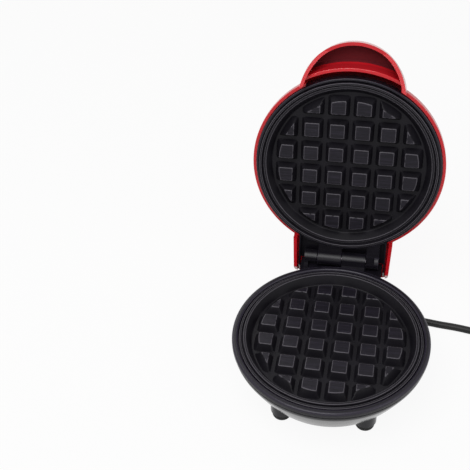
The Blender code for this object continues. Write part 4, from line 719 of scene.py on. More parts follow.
def make_camera():
    lens = bpy.data.cameras.new("camera")
    lens.lens = 69.592
    lens.sensor_width = 36.0
    lens.sensor_fit = "HORIZONTAL"
    turn, lift, roll = (math.radians(a) for a in (12.918, 41.745, -3.303))
    back = Vector((math.cos(lift) * math.sin(turn), -math.cos(lift) * math.cos(turn), math.sin(lift)))
    right = Vector((math.cos(turn), math.sin(turn), 0))
    up = back.cross(right)
    across = right * math.cos(roll) + up * math.sin(roll)
    upright = up * math.cos(roll) - right * math.sin(roll)
    made = new_object("camera", lens)
    made.matrix_world = Matrix((across, upright, back)).transposed().to_4x4()
    made.location = (0.03119, -0.42339, 0.48265)
    bpy.context.scene.camera = made


make_camera()


# Lead: the same route as in the CAD, from the sleeve to the coil and the plug

CORD_ROUTE = ((33.8, -1.0), (43.8, -2.3), (53.8, -3.2), (63.8, -4.7), (73.8, -6.7))
COIL_MEAN = 30.0
COIL_STEP = 5.7
COIL_TURNS = 82 / 24
COIL_FINE = 48
COIL_CENTRE = (HEEL_HALF + 115.6, RELIEF_SPOT[1] + 15.6)
COIL_START = math.radians(245)
TIE_TURN = math.radians(300)
TIE_SPAN = math.radians(34)
TIE_WIDE, TIE_THICK, TIE_ROOM = 6.0, 0.9, 0.4
LAY = 0.1


def coil_path():
    """Loops that spiral in on the table and out again on top, lifted over the tie."""
    steps = round(COIL_TURNS * COIL_FINE)
    climb = COIL_FINE / 2
    outer = COIL_MEAN + COIL_STEP * COIL_TURNS / 4
    points = []
    for i in range(steps + 1):
        turn = COIL_START + math.tau * i / COIL_FINE
        inward = min(i, steps - i) / COIL_FINE
        layer = min(max((i - (steps / 2 - climb / 2)) / climb, 0), 1)
        layer = layer * layer * (3 - 2 * layer)
        away = abs((turn - TIE_TURN + math.pi) % math.tau - math.pi)
        bump = math.cos(math.pi / 2 * min(away / TIE_SPAN, 1)) ** 2
        radius = outer - COIL_STEP * inward
        points.append(Vector((
            COIL_CENTRE[0] + radius * math.cos(turn), COIL_CENTRE[1] + radius * math.sin(turn),
            CORD_THICK / 2 + LAY + (TIE_THICK + TIE_ROOM) * bump + COIL_STEP * layer,
        )))
    return points


def level_way(a, b):
    way = a - b
    way.z = 0
    return way.normalized()


def relief_way():
    return Vector((math.cos(RELIEF_TILT), 0, -math.sin(RELIEF_TILT)))


COIL = coil_path()
COIL_IN = level_way(COIL[0], COIL[1])
COIL_OUT = level_way(COIL[-1], COIL[-2])
PLUG_SPOT = COIL[-1] + COIL_OUT * 7.0


def make_cord():
    way = relief_way()
    leave = Vector(RELIEF_SPOT) + way * (RELIEF_LONG + SEAT)
    laid = CORD_THICK / 2 + LAY
    route = [leave, leave + way * CORD_THICK]
    route += [Vector((HEEL_HALF + a, RELIEF_SPOT[1] + b, laid)) for a, b in CORD_ROUTE]
    route += [COIL[0] + COIL_IN * 12.0, COIL[0] + COIL_IN * 6.0]
    stretch = smooth_route(route, 60)
    for point in stretch:
        point.z = max(point.z, laid)
    path = stretch + COIL + [PLUG_SPOT]
    line = bpy.data.curves.new("lead", "CURVE")
    line.dimensions = "3D"
    line.bevel_depth = CORD_THICK / 2 * METRE
    line.bevel_resolution = 6
    line.use_fill_caps = True
    spline = line.splines.new("POLY")
    spline.points.add(len(path) - 1)
    for spot, point in zip(spline.points, path):
        spot.co = (*world_point(*point), 1)
    spline.use_smooth = True
    line.materials.append(VINYL)
    made = new_object("lead", line)
    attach(made, "base")
    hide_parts("power_cord", "cord_coil")
    return made


def make_tie():
    """A strap round the loops, as one closed band."""
    outward = Vector((math.cos(TIE_TURN), math.sin(TIE_TURN), 0))
    along = Vector((-outward.y, outward.x, 0))
    middle = Vector((*COIL_CENTRE, 0)) + outward * COIL_MEAN
    near = [
        p for p in COIL
        if abs((p - middle).dot(along)) < TIE_WIDE and (p - middle).dot(outward) > -COIL_MEAN
    ]
    reach = [(p - middle).dot(outward) for p in near]
    thick = CORD_THICK / 2 + TIE_ROOM
    low_x, high_x = min(reach) - thick, max(reach) + thick
    low_z, high_z = TIE_THICK + LAY, max(p.z for p in near) + thick
    rounding = CORD_THICK / 3
    inner = [(low_x, low_z), (high_x, low_z), (high_x, high_z), (low_x, high_z)]
    signs = ((-1, -1), (1, -1), (1, 1), (-1, 1))
    outer = [(x + i * TIE_THICK, z + j * TIE_THICK) for (x, z), (i, j) in zip(inner, signs)]
    band = prism("coil_strap", filleted([(*p, rounding) for p in outer]), -TIE_WIDE / 2, TIE_WIDE / 2)
    room = prism("room", filleted([(*p, rounding - TIE_THICK / 2) for p in inner]), -TIE_WIDE, TIE_WIDE)
    combined(band, "DIFFERENCE", room)
    frame_in = Matrix((outward, Vector((0, 0, 1)), -along)).transposed().to_4x4()
    shifted(band, Matrix.Translation(middle) @ frame_in)
    return finished(band, "base", VINYL, "cord_vinyl", "coil_tie")


PLUG_NECK, PLUG_LONG, PLUG_WIDE, PLUG_THICK = 10.0, 26.0, 24.0, 15.0
PLUG_LEVELS = (
    (-1.0, 1.9), (-0.96, 1.0), (-0.87, 0.35), (-0.75, 0), (0.75, 0), (0.87, 0.35), (0.96, 1.0), (1.0, 1.9),
)
BLADE_APART, BLADE_LONG, BLADE_WIDE, BLADE_THICK = 12.7, 15.9, 6.3, 1.5


def make_plug():
    """A two-blade plug with finger ribs on both faces, and its blades with round ends."""
    half = PLUG_WIDE / 2
    front = PLUG_NECK + PLUG_LONG
    outline = filleted([
        (-half, PLUG_NECK + 12.0, 5.0), (-half, front, 1.6), (half, front, 1.6),
        (half, PLUG_NECK + 12.0, 5.0), (4.0, PLUG_NECK, 2.0), (-4.0, PLUG_NECK, 2.0),
    ])
    deep = PLUG_THICK / 2
    middle = Vector((0, PLUG_NECK + PLUG_LONG / 2 + 2))
    rings = []
    for level, inset in PLUG_LEVELS:
        shrink = Vector((1 - inset / half, 1 - inset / (PLUG_LONG / 2)))
        rings.append([
            (middle.x + (x - middle.x) * shrink.x, middle.y + (y - middle.y) * shrink.y, level * deep)
            for x, y in outline
        ])
    body = lofted("plug_moulding", rings)
    inside = PLUG_NECK + 3.6
    neck = spun("neck", [
        (0, 0), (CORD_THICK / 2 + 0.6, 0, 0.4), (4.0, PLUG_NECK), (4.0, inside), (0, inside),
    ], False, 32)
    combined(body, "UNION", shifted(neck, Matrix.Rotation(-math.pi / 2, 4, "X")))
    blades = []
    thick, wide, end = BLADE_THICK / 2, BLADE_WIDE / 2, front + BLADE_LONG
    for name, x in (("blade_left", -BLADE_APART / 2), ("blade_right", BLADE_APART / 2)):
        room = (thick + SEAT, wide + SEAT)
        slot = block("slot", (x - room[0], front - OVER, -room[1]), (x + room[0], front + OVER, room[1]))
        combined(body, "DIFFERENCE", slot)
        root = front - OVER + SEAT
        shape = filleted([(root, -wide), (end, -wide, 1.6), (end, wide, 1.6), (root, wide)])
        blade = eased(prism(name, shape, x - thick, x + thick, "X"), 0.25, end_edges(front), 1)
        hole = shifted(rod("hole", 1.6, -2.0, 2.0, steps=24), Matrix.Rotation(math.pi / 2, 4, "Y"))
        blades.append(combined(blade, "DIFFERENCE", moved(hole, x, end - 4.2)))
    rib = filleted([(0, 0), (0, 0.55, 0.5), (1.3, 0.55, 0.5), (1.3, 0)])
    rib = prism("rib", [(high, along) for along, high in rib], -6.5, 6.5, "X")
    for face in (-1, 1):
        ribs = grown(
            "ribs", RIBS, Rib=rib, Count=4, Start=PLUG_NECK + 12.5, Pitch=2.6, Taper=0.0, Finish=VINYL,
        )
        laid = Matrix(((1, 0, 0, 0), (0, 0, 1, 0), (0, face, 0, face * (deep - 0.05)), (0, 0, 0, 1)))
        body = gathered("plug_moulding", body, shifted(ribs, laid))
    bpy.data.objects.remove(rib)
    sideways = Vector((COIL_OUT.y, -COIL_OUT.x, 0))
    frame_in = Matrix((sideways, COIL_OUT, Vector((0, 0, 1)))).transposed().to_4x4()
    place = Matrix.Translation(PLUG_SPOT + COIL_OUT * SEAT) @ frame_in
    for piece in (body, *blades):
        shifted(piece, place)
    finished(body, "base", VINYL, "cord_vinyl", "plug_body")
    finished(blades[0], "base", BRASS, "brass", "plug_blade_left")
    finished(blades[1], "base", BRASS, "brass", "plug_blade_right")
    return [body, *blades]


lead = make_cord()
strap = make_tie()
plug = make_plug()


# Lower housing

BOWL_LINE = (
    (0.560, 0.000), (0.655, 0.022), (0.735, 0.115), (0.800, 0.260), (0.860, 0.450),
    (0.915, 0.650), (0.960, 0.830), (0.985, 0.940),
)
BOWL_WALL = 2.2
LIP = BODY - 0.7
FOOT_SPOTS = {
    "foot_front_left": polar(43.3, 231.8), "foot_front_right": polar(43.3, -51.8),
}


def stop_line(height):
    """How far behind the pin the opened cover's inner face passes, at this height from it."""
    return (6.0 - height * math.cos(OPEN_TURN)) / -math.sin(OPEN_TURN)


HEEL_BEND = ROOF_INSIDE * math.cos(OPEN_TURN) + COVER_BACK * math.sin(OPEN_TURN) - 2.0
HEEL_BACK = PIN_Y + stop_line(HEEL_BEND)
for side, name in ((-1, "foot_rear_left"), (1, "foot_rear_right")):
    FOOT_SPOTS[name] = (side * (HEEL_HALF - 8.2), HEEL_BACK - 9.2)


def bowl_line():
    """The bowl's smooth outer outline from its floor to its lip."""
    corners = [Vector((BODY * r, BOWL_LOW + (BOWL_HIGH - BOWL_LOW) * h, 0)) for r, h in BOWL_LINE]
    corners.append(Vector((LIP, BOWL_HIGH, 0)))
    return [(p.x, p.y) for p in smooth_route(corners, 34)]


def make_bowl():
    outer = bowl_line()
    bowl = turned("lower_housing", [(0, BOWL_LOW)] + outer + [(0, BOWL_HIGH)])
    bend = PIN_Z + HEEL_BEND
    side = [
        (HEEL_FRONT, BOWL_HIGH), (HEEL_FRONT, BOWL_LOW, 1.5), (HEEL_BACK, BOWL_LOW, 3.0),
        (HEEL_BACK, bend, 6.0), (PIN_Y + stop_line(BOWL_HIGH - PIN_Z), BOWL_HIGH),
    ]
    heel = prism("heel", filleted(side), -HEEL_HALF, HEEL_HALF, "X")
    eased(heel, 2.0, end_edges(HEEL_FRONT + 2), 4)
    pads = [
        moved(spun("pad", [(0, PAD_LOW), (7.2, PAD_LOW, 0.3), (7.2, 15.0), (0, 15.0)], False, FINE), *spot)
        for spot in FOOT_SPOTS.values()
    ]
    combined(bowl, "UNION", heel, gathered("pads", *pads))
    inner = [(r - BOWL_WALL * 0.85, max(z + 1.2, BOWL_LOW + BOWL_WALL)) for r, z in outer[2:]]
    cavity = turned("cavity", [(0, BOWL_LOW + BOWL_WALL)] + inner + [(inner[-1][0], 43.0), (0, 43.0)])
    room = [
        (HEEL_FRONT + BOWL_WALL, 41.0), (HEEL_FRONT + BOWL_WALL, BOWL_LOW + 2.7),
        (HEEL_BACK - BOWL_WALL, BOWL_LOW + 2.7), (HEEL_BACK - BOWL_WALL, bend),
        (PIN_Y + stop_line(41.0 - PIN_Z) - BOWL_WALL, 41.0),
    ]
    room = prism("room", room, -HEEL_HALF + BOWL_WALL, HEEL_HALF - BOWL_WALL, "X")
    way_out = pointed(rod("exit", 3.2, -5.0, OVER), RELIEF_SPOT, (1, 0, 0))
    combined(cavity, "UNION", room, way_out)
    bosses, holes = [], []
    stepped = ((0, 1.8), (3.3, 1.8), (3.3, 10.5), (1.9, 10.5), (1.9, 22.5), (0, 22.5))
    for angle in LOWER_ANGLES:
        spot = polar(LOWER_CIRCLE, angle)
        bosses.append(rod("boss", 4.8, BOWL_LOW, 18.5, spot, 40))
        holes.append(moved(turned("hole", stepped, 32), *spot))
    combined(cavity, "DIFFERENCE", gathered("bosses", *bosses))
    combined(cavity, "UNION", gathered("holes", *holes))
    combined(bowl, "DIFFERENCE", cavity)
    return finished(bowl, "base", BLACK, "black_gloss", "base_bowl")


make_bowl()


# Feet

for name, spot in FOOT_SPOTS.items():
    foot = spun("rubber_" + name, [(0, 0), (6.2, 0, 2.4), (6.2, 5.5, 0.3), (0, 5.5)], False, FINE)
    finished(moved(foot, *spot), "base", FOOT_RUBBER, "black_rubber", name)


# Sleeve on the lead, with ribs that shrink along its taper

def make_sleeve():
    gland = spun("gland", [
        (0, -3.9), (3.3, -3.9), (3.3, -2.5), (2.9, -2.5), (2.9, SEAT), (4.6, SEAT, 0.4),
        (4.6, 3.57, 0.6), (0, 3.57),
    ], False, FINE)
    pointed(gland, RELIEF_SPOT, (1, 0, 0))
    start, count = 2.1, 5
    sleeve = spun("taper", [
        (0, start), (3.4, start), (2.7, RELIEF_LONG, 0.3), (0, RELIEF_LONG),
    ], False, FINE)
    pitch = (RELIEF_LONG - start) / count
    rib = spun("rib", [(0, 0), (3.9, 0, 0.4), (3.8, pitch * 0.6, 0.4), (0, pitch * 0.6)], False, FINE)
    ribs = grown(
        "ribs", RIBS, Rib=rib, Count=count, Start=start, Pitch=pitch, Taper=0.04, Finish=FOOT_RUBBER,
    )
    bpy.data.objects.remove(rib)
    sleeve = pointed(gathered("sleeve", sleeve, ribs), RELIEF_SPOT, relief_way())
    sleeve = gathered("lead_sleeve", gland, sleeve)
    return finished(sleeve, "base", FOOT_RUBBER, "black_rubber", "strain_relief")


make_sleeve()


# Black ring of the base, its bridge and two of the hinge's knuckles

def across_bore():
    bore = rod("bore", PIN_BORE, -HINGE_HALF + 1.6, HINGE_HALF - 1.6)
    return pointed(bore, (0, PIN_Y, PIN_Z), (1, 0, 0))


def outside(obj, radius):
    return combined(obj, "DIFFERENCE", rod("core", radius, -OVER, 90.0, steps=ROUND))


def add_knuckles(ring, outline, spans, chosen, joined):
    """Two knuckles in one piece with the ring, which they enter as far as the radius joined."""
    for start, end in spans:
        knuckle = eased(prism("knuckle", outline, start, end, "X"), 0.35, chosen, 2)
        combined(ring, "UNION", outside(knuckle, joined))


def make_base_ring():
    groove = RIM_LOW + 1.9
    ledge = LOWER_FACE - LEDGE_THICK - SEAT
    under_ledge = ledge - LEDGE_THICK
    spigot_out, spigot_low = 58.4, RIM_LOW - 2.4
    spigot_in = spigot_out - 1.8
    ring = spun("base_ring", [
        (BODY, groove, 0.4), (BODY, RIM_HIGH, 1.5), (BEAD_IN, RIM_HIGH, 1.3), (BEAD_IN, ledge),
        (LEDGE, ledge), (LEDGE, under_ledge), (spigot_in, under_ledge), (spigot_in, spigot_low),
        (spigot_out, spigot_low), (spigot_out, RIM_LOW), (LIP, RIM_LOW, 0.3),
        (LIP, groove - 0.4, 0.3), (BODY - 0.8, groove, 0.2),
    ])
    joined = BEAD_IN + 2.0
    front = math.sqrt(BEAD_IN ** 2 - HEEL_HALF ** 2)
    high = PIN_Z - BARREL - 0.5
    low, middle = RIM_LOW, (RIM_LOW + high) / 2
    deep = RIM_LOW - 6.0
    plate = [
        (front, low), (PIN_Y + stop_line(low - PIN_Z), low, 0.3),
        (PIN_Y + stop_line(high - PIN_Z), high, 0.4), (front, high),
    ]
    inset = BOWL_WALL + SEAT
    plug_block = [
        (front, deep), (PIN_Y + stop_line(deep - PIN_Z) - inset, deep),
        (PIN_Y + stop_line(middle - PIN_Z) - inset, middle), (front, middle),
    ]
    bridge = prism("bridge", filleted(plate), -HEEL_HALF, HEEL_HALF, "X")
    eased(bridge, 0.4, end_edges(PIN_Y - 8), 2)
    inner = HEEL_HALF - inset
    under = outside(prism("plug", plug_block, -inner, inner, "X"), spigot_in + 0.9)
    combined(ring, "UNION", outside(bridge, joined), under)
    crown = arc((PIN_Y, PIN_Z), BARREL, math.radians(150), math.radians(-20), 20)
    outline = filleted([
        (front, middle), (front, (PIN_Z + middle) / 2), (PIN_Y - BARREL, PIN_Z - 1.6, 1.0),
    ], closed=False) + crown
    outline.append((PIN_Y + stop_line(middle - PIN_Z) - SEAT, middle))
    outer = (-HINGE_HALF, -HINGE_HALF + OUTER_KNUCKLE)
    inner_span = (KNUCKLE_GAP / 2, KNUCKLE_GAP / 2 + INNER_KNUCKLE)
    add_knuckles(ring, outline, (outer, inner_span), end_edges(PIN_Z - 1.0, "z"), joined)
    top = PIN_Z - 0.1
    face = PIN_Y - BARREL
    pocket = block("pocket", (outer[0] + 2.8, face - OVER, top - 4.5), (outer[1] + OVER, face + 3.0, top))
    combined(ring, "DIFFERENCE", pocket, across_bore())
    return finished(ring, "base", SATIN, "charcoal_satin", "base_rim")


make_base_ring()


# Waffle plates: a turned pan, a grid of whole blocks, and clipped blocks at the edge

BLOCK_HALF = 4.65
BLOCK_FLARE = 2.3 / BLOCK_DEEP
CLIP_RADIUS = 46.1
CLIP_FLARE = 3.6 / BLOCK_DEEP
BLOCK_LEVELS = (
    (-5.30, 0.16), (-4.98, 0.14), (-4.80, 0.0), (-2.5, 0.0), (-0.36, 0.0), (-0.20, -0.03), (-0.09, -0.11),
    (-0.025, -0.21), (0.0, -0.36),
)
RING_POINTS = 88
CLIP_FROM = 30.0
BLOCK_REACH = 12.0
HALVINGS = 20


def block_edge(x, y, centre, level, spread):
    """Distance outside the block's outline at this level."""
    half = BLOCK_HALF - BLOCK_FLARE * level + spread
    corner = 0.5 - 0.2 * level
    over_x = abs(x - centre[0]) - half + corner
    over_y = abs(y - centre[1]) - half + corner
    square = min(max(over_x, over_y), 0) + math.hypot(max(over_x, 0), max(over_y, 0)) - corner
    ring = math.hypot(x, y) - (CLIP_RADIUS - CLIP_FLARE * level + spread)
    share = max(1 - abs(square - ring) / 0.6, 0)
    return max(square, ring) + share * share * 0.15


def waffle_block(name, centre):
    """A block set out round a start that stays inside its outline where the tray's circle clips it."""
    start = Vector(centre)
    if start.length > CLIP_FROM:
        start *= 0.94
    rings = []
    for level, spread in BLOCK_LEVELS:
        ring = []
        for i in range(RING_POINTS):
            turn = math.tau * (i + 0.5) / RING_POINTS
            way = Vector((math.cos(turn), math.sin(turn)))
            low, high = 0.0, BLOCK_REACH
            for _ in range(HALVINGS):
                middle = (low + high) / 2
                spot = start + way * middle
                if block_edge(spot.x, spot.y, centre, level, spread) > 0:
                    high = middle
                else:
                    low = middle
            ring.append((*(start + way * low), level))
        rings.append(ring)
    return lofted(name, rings)


def depth_in_plate(spot):
    """0 on the blocks' faces, 1 on the floor between them, and just over 0 on the rim."""
    shallow = 0.05 if math.hypot(spot.x, spot.y) > TRAY_FLOOR else 0.0
    return min(max(-spot.z / BLOCK_DEEP, shallow), 1)


def make_plate(name, tray_rise, ridge_rise, post_long, post_circle, post_angles):
    """A cast plate, faces up at z = 0, with three posts behind it."""
    tray_in, tray_out = TRAY_RADIUS - 0.8, TRAY_RADIUS + 0.8
    ridge_in = PLATE_RADIUS - 1.4
    groove = (tray_out + ridge_in) / 2
    pan = spun(name, [
        (0, -BLOCK_DEEP), (TRAY_FLOOR, -BLOCK_DEEP, 0.9), (tray_in, tray_rise, 0.55),
        (tray_out, tray_rise, 0.5), (groove - 0.15, -0.9, 0.25), (ridge_in, ridge_rise, 0.4),
        (PLATE_RADIUS, ridge_rise, 0.4), (PLATE_RADIUS, -LEDGE_THICK, 0.2), (56.5, -LEDGE_THICK),
        (53.0, -PLATE_DEEP, 0.8), (0, -PLATE_DEEP),
    ], False, 160)
    one = waffle_block("one_block", (0.0, 0.0))
    inner = grown("inner_blocks", GRID, Block=one, Rows=4, Pitch=PITCH, Finish=COATING)
    bpy.data.objects.remove(one)
    parts = [pan, inner]
    for row in range(6):
        for column in range(6):
            x, y = (column - 2.5) * PITCH, (row - 2.5) * PITCH
            at_edge = max(abs(x), abs(y)) > 2 * PITCH
            in_corner = min(abs(x), abs(y)) > 2 * PITCH
            if at_edge and not in_corner:
                parts.append(waffle_block("edge_block", (x, y)))
    end, root, hole = -PLATE_DEEP - post_long, -PLATE_DEEP + 1, -PLATE_DEEP - post_long + 2.5
    for angle in post_angles:
        post = spun("post", [
            (0, hole), (1.9, hole), (1.9, end), (3.6, end, 0.3), (3.6, root), (0, root),
        ], False, 32)
        parts.append(moved(post, *polar(post_circle, angle)))
    return marked(gathered(name, *parts), "depth", depth_in_plate)


lower = make_plate("lower_waffle_plate", 1.4, 0.6, LOWER_POST, LOWER_CIRCLE, LOWER_ANGLES)
finished(moved(lower, z=LOWER_FACE), "base", COATING, "non_stick", "lower_plate")
upper = make_plate("upper_waffle_plate", 0.3, 2.1, UPPER_POST, UPPER_CIRCLE, [-a for a in UPPER_ANGLES])
shifted(upper, Matrix.Translation((0, 0, UPPER_FACE)) @ Matrix.Rotation(math.pi, 4, "X"))
finished(upper, "lid", COATING, "non_stick", "upper_plate")


# Black ring of the lid, its ears, leaf and the other two knuckles

def make_lid_ring():
    out = BODY - DOME_WALL - SEAT
    ledge = UPPER_FACE + LEDGE_THICK + SEAT
    over_ledge = ledge + LEDGE_THICK
    top = LID_SEAT - SEAT
    ring_in = out - 1.8
    ring = spun("lid_ring", [
        (out, UPPER_FACE, 0.55), (out, top, 0.2), (ring_in, top), (ring_in, over_ledge),
        (LEDGE, over_ledge), (LEDGE, ledge), (BEAD_IN, ledge), (BEAD_IN, UPPER_FACE, 0.5),
    ])
    ear_low = UPPER_FACE + PLATE_DEEP + UPPER_POST + SEAT
    section = [
        (56.4, ledge + 1), (57.9, ledge + 1), (57.9, ear_low + 2), (39.5, ear_low + 2),
        (39.5, ear_low), (56.4, ear_low),
    ]
    for angle in UPPER_ANGLES:
        ear = prism("ear", section, -4.5, 4.5, "X")
        combined(ring, "UNION", shifted(ear, Matrix.Rotation(math.radians(angle - 90), 4, "Z")))
    joined = ring_in + 0.9
    leaf_front = math.sqrt(ring_in ** 2 - HINGE_HALF ** 2)
    barrel = arc((PIN_Y, PIN_Z), BARREL, math.radians(90), math.radians(-180), 30)
    leaf_low = PIN_Z + 0.6
    leaf = [(leaf_front, PIN_Z + BARREL)] + barrel + [(PIN_Y - BARREL, leaf_low), (leaf_front, leaf_low)]
    inner = (-KNUCKLE_GAP / 2 - INNER_KNUCKLE, -KNUCKLE_GAP / 2)
    outer = (HINGE_HALF - OUTER_KNUCKLE, HINGE_HALF)
    add_knuckles(ring, leaf, (inner, outer), end_edges(PIN_Y - BARREL - 1), joined)
    half = LEAF_HALF - LEAF_THICK / 2
    root = leaf_front - 8.0
    sheet = block("sheet", (-half, root, LEAF_LOW), (half, PIN_Y + 3.5, LEAF_LOW + LEAF_THICK))
    combined(ring, "UNION", outside(sheet, joined))
    low, high = PIN_Z - 0.7, LEAF_LOW + LEAF_THICK / 2
    end = PIN_Y + COVER_BACK - 1.5
    flange = filleted([(root, low), (end - 6.5, low, 2.0), (end, low + 6.0, 2.0), (end, high), (root, high)])
    for start in (-LEAF_HALF, LEAF_HALF - LEAF_THICK):
        side = prism("flange", flange, start, start + LEAF_THICK, "X")
        combined(ring, "UNION", outside(side, joined))
    back = PIN_Y + 0.1
    face = PIN_Z - BARREL
    pocket = block("pocket", (outer[0] - OVER, back - 4.5, face - OVER), (outer[1] - 2.8, back, face + 3.0))
    holes = [
        rod("hole", 1.9, ear_low - 2, ear_low + 6, polar(UPPER_CIRCLE, angle), 24) for angle in UPPER_ANGLES
    ]
    combined(ring, "DIFFERENCE", pocket, across_bore(), gathered("holes", *holes))
    return finished(ring, "lid", SATIN, "charcoal_satin", "lid_rim")


make_lid_ring()


# Red shell

GRIP_CENTRE = -49.0
GRIP_RADIUS = 34.0
GRIP_WALL = 2.2
GRIP_DRAFT = 2.2
GRIP_HIGH = 63.5
NOTCH_HIGH = SHELL_LOW + 9.6
NOTCH_RADIUS = GRIP_RADIUS - GRIP_WALL * 1.5
RIB_BEHIND, RIB_FRONT, RIB_IN_FRONT, RIB_FLARE = 65.05, 67.4, 68.0, 69.2
GRIP_LOW = 52.4
GRIP_HEEL = 39.8
COVER_HALF = 32.6
COVER_WALL = 2.2
LENS_BACK = 17.4
LENS_STEPS = 96
DISH_FLOOR = DOME_HIGH - 2.6


def dome_line(radius, base, height, count):
    """The dome's outline from its foot to its top, as a squared-off ellipse."""
    found = []
    for i in range(count):
        share = math.cos(math.pi / 2 * (i / (count - 1)) ** 1.7)
        rise = max(1 - share ** 3.6, 0) ** (1 / 1.4)
        found.append((radius * share, base + height * rise))
    found[-1] = (0, base + height)
    return found


def cover_line(inset):
    """The hinge cover from above."""
    front = PIN_Y - 18.0
    back = PIN_Y + COVER_BACK
    half = COVER_HALF - inset
    wide = half + 1.4
    if inset:
        return [(-wide, front - OVER), (wide, front - OVER), (half, back + OVER), (-half, back + OVER)]
    return filleted([(-wide, front), (wide, front), (half, back, 4.5), (-half, back, 4.5)])


def grip_side():
    """The grip from the side, in (y, z): level in front, sloping down to its ends."""
    return [
        (-90.0, GRIP_LOW), (-76.0, GRIP_LOW), (-55.4, GRIP_HEEL), (-40.0, GRIP_HEEL),
        (-40.0, 90.0), (-90.0, 90.0),
    ]


def make_shell():
    outer = filleted([
        (BODY - DOME_WALL, SHELL_LOW), (BODY, SHELL_LOW, 0.5), (BODY, BAND_HIGH, 0.7),
        (DOME_RADIUS, BAND_HIGH + 0.4, 0.3),
    ] + dome_line(DOME_RADIUS, DOME_LOW, DOME_RISE, 40), closed=False)
    inside = DOME_RADIUS - DOME_WALL
    inner = dome_line(inside, DOME_LOW, DOME_RISE - DOME_WALL, 24)[::-1]
    shell = turned("red_shell", outer + inner[:-1] + [(inside, LID_SEAT), (BODY - DOME_WALL, LID_SEAT)])
    fitted_shell(shell)
    # The mask darkens the red inside the grip, notch and cover as painted shade, and makes them and the
    # grip's slopes matt.
    shell.data.attributes.new("matt", "FLOAT", "FACE").data.foreach_set("value", matt_and_shade_faces(shell.data))
    return finished(shell, "lid", RED, "red_gloss", "lid_shell")


def matt_and_shade_faces(mesh):
    """1 for each face that only shows when the lid is open (matt, and darkened as painted shade), less on the
    grip's slopes (matt only), 0 for the others.
    """
    found = []
    for face in mesh.polygons:
        spots = [mesh.vertices[i].co for i in face.vertices]
        slope = all(on_slope(spot) for spot in spots)
        found.append(SLOPE_MATT if slope else float(all(hidden_in_shell(spot) for spot in spots)))
    return found


def on_slope(spot):
    """Whether the point is on one of the two slopes under the grip's wall."""
    (front, high), (back, low) = grip_side()[1:3]
    slope = high + (low - high) * (spot.y - front) / (back - front)
    return front - 0.1 < spot.y < back + 0.1 and abs(spot.z - slope) < 0.1


def hidden_in_shell(spot):
    """Whether the point is in the grip's hollow, in the notch behind it or in the hinge cover."""
    near = 0.3
    from_axis = math.hypot(spot.x, spot.y)
    from_grip = math.hypot(spot.x, spot.y - GRIP_CENTRE)
    in_drum = from_grip < GRIP_RADIUS - GRIP_WALL + near and spot.z < GRIP_HIGH - GRIP_WALL + near
    in_notch = from_grip < NOTCH_RADIUS + near and spot.z < NOTCH_HIGH + near
    far_back = PIN_Y + COVER_BACK - COVER_WALL + near
    in_cover = abs(spot.x) < COVER_HALF - COVER_WALL + near and 0 < spot.y < far_back
    return (
        (in_drum and from_axis > RIB_IN_FRONT) or (in_notch and from_axis < RIB_BEHIND + 0.25)
        or (in_cover and spot.z < PIN_Z + ROOF_INSIDE + near)
    )


def grip_drum(name, radius, low, high):
    """Upright to the grip's front edge, and above it leaning in towards the roof."""
    rings = []
    for level in (low, GRIP_LOW - 1.0, high):
        lean = GRIP_DRAFT * max(level - GRIP_LOW, 0) / (GRIP_HIGH - GRIP_LOW)
        circle = arc((0, GRIP_CENTRE), radius - lean, 0, math.tau, ROUND)[:-1]
        rings.append([(x, y, level) for x, y in circle])
    return lofted(name, rings)


def grip_wall():
    """The hollow grip in front: its wall and roof, up to the middle of the dome's wall."""
    grip = grip_drum("grip", GRIP_RADIUS, GRIP_HEEL - 1, GRIP_HIGH)
    eased(grip, 2.4, top_edges(GRIP_HIGH), 6)
    hollow = grip_drum("hollow", GRIP_RADIUS - GRIP_WALL, 30.0, GRIP_HIGH - GRIP_WALL)
    eased(hollow, 2.0, top_edges(GRIP_HIGH - GRIP_WALL), 4)
    combined(grip, "DIFFERENCE", hollow)
    combined(grip, "INTERSECT", prism("side", grip_side(), -60.0, 60.0, "X"))
    past = turned("past", [
        (0, 30.0), (BODY + 0.6, 30.0), (BODY + 0.6, SHELL_LOW - 0.4), (BODY - 1.0, SHELL_LOW + 0.7),
        (BODY - 1.0, DOME_LOW),
    ] + dome_line(DOME_RADIUS - 1.0, DOME_LOW + 0.1, DOME_RISE - 1.0, 24)[1:])
    combined(grip, "DIFFERENCE", past)
    in_roof = GRIP_HIGH - GRIP_WALL / 2
    rib = spun("rib", [
        (RIB_BEHIND, SHELL_LOW, 0.4), (RIB_FRONT, SHELL_LOW, 0.7), (RIB_FRONT, 57.5, 3.0),
        (RIB_IN_FRONT, 59.5, 2.0), (RIB_FLARE, 61.2), (RIB_FLARE, in_roof), (RIB_BEHIND, in_roof),
    ])
    reach = rod("reach", GRIP_RADIUS - GRIP_WALL / 2 - 0.8, 40.0, 70.0, (0, GRIP_CENTRE), ROUND)
    return combined(grip, "UNION", combined(rib, "INTERSECT", reach))


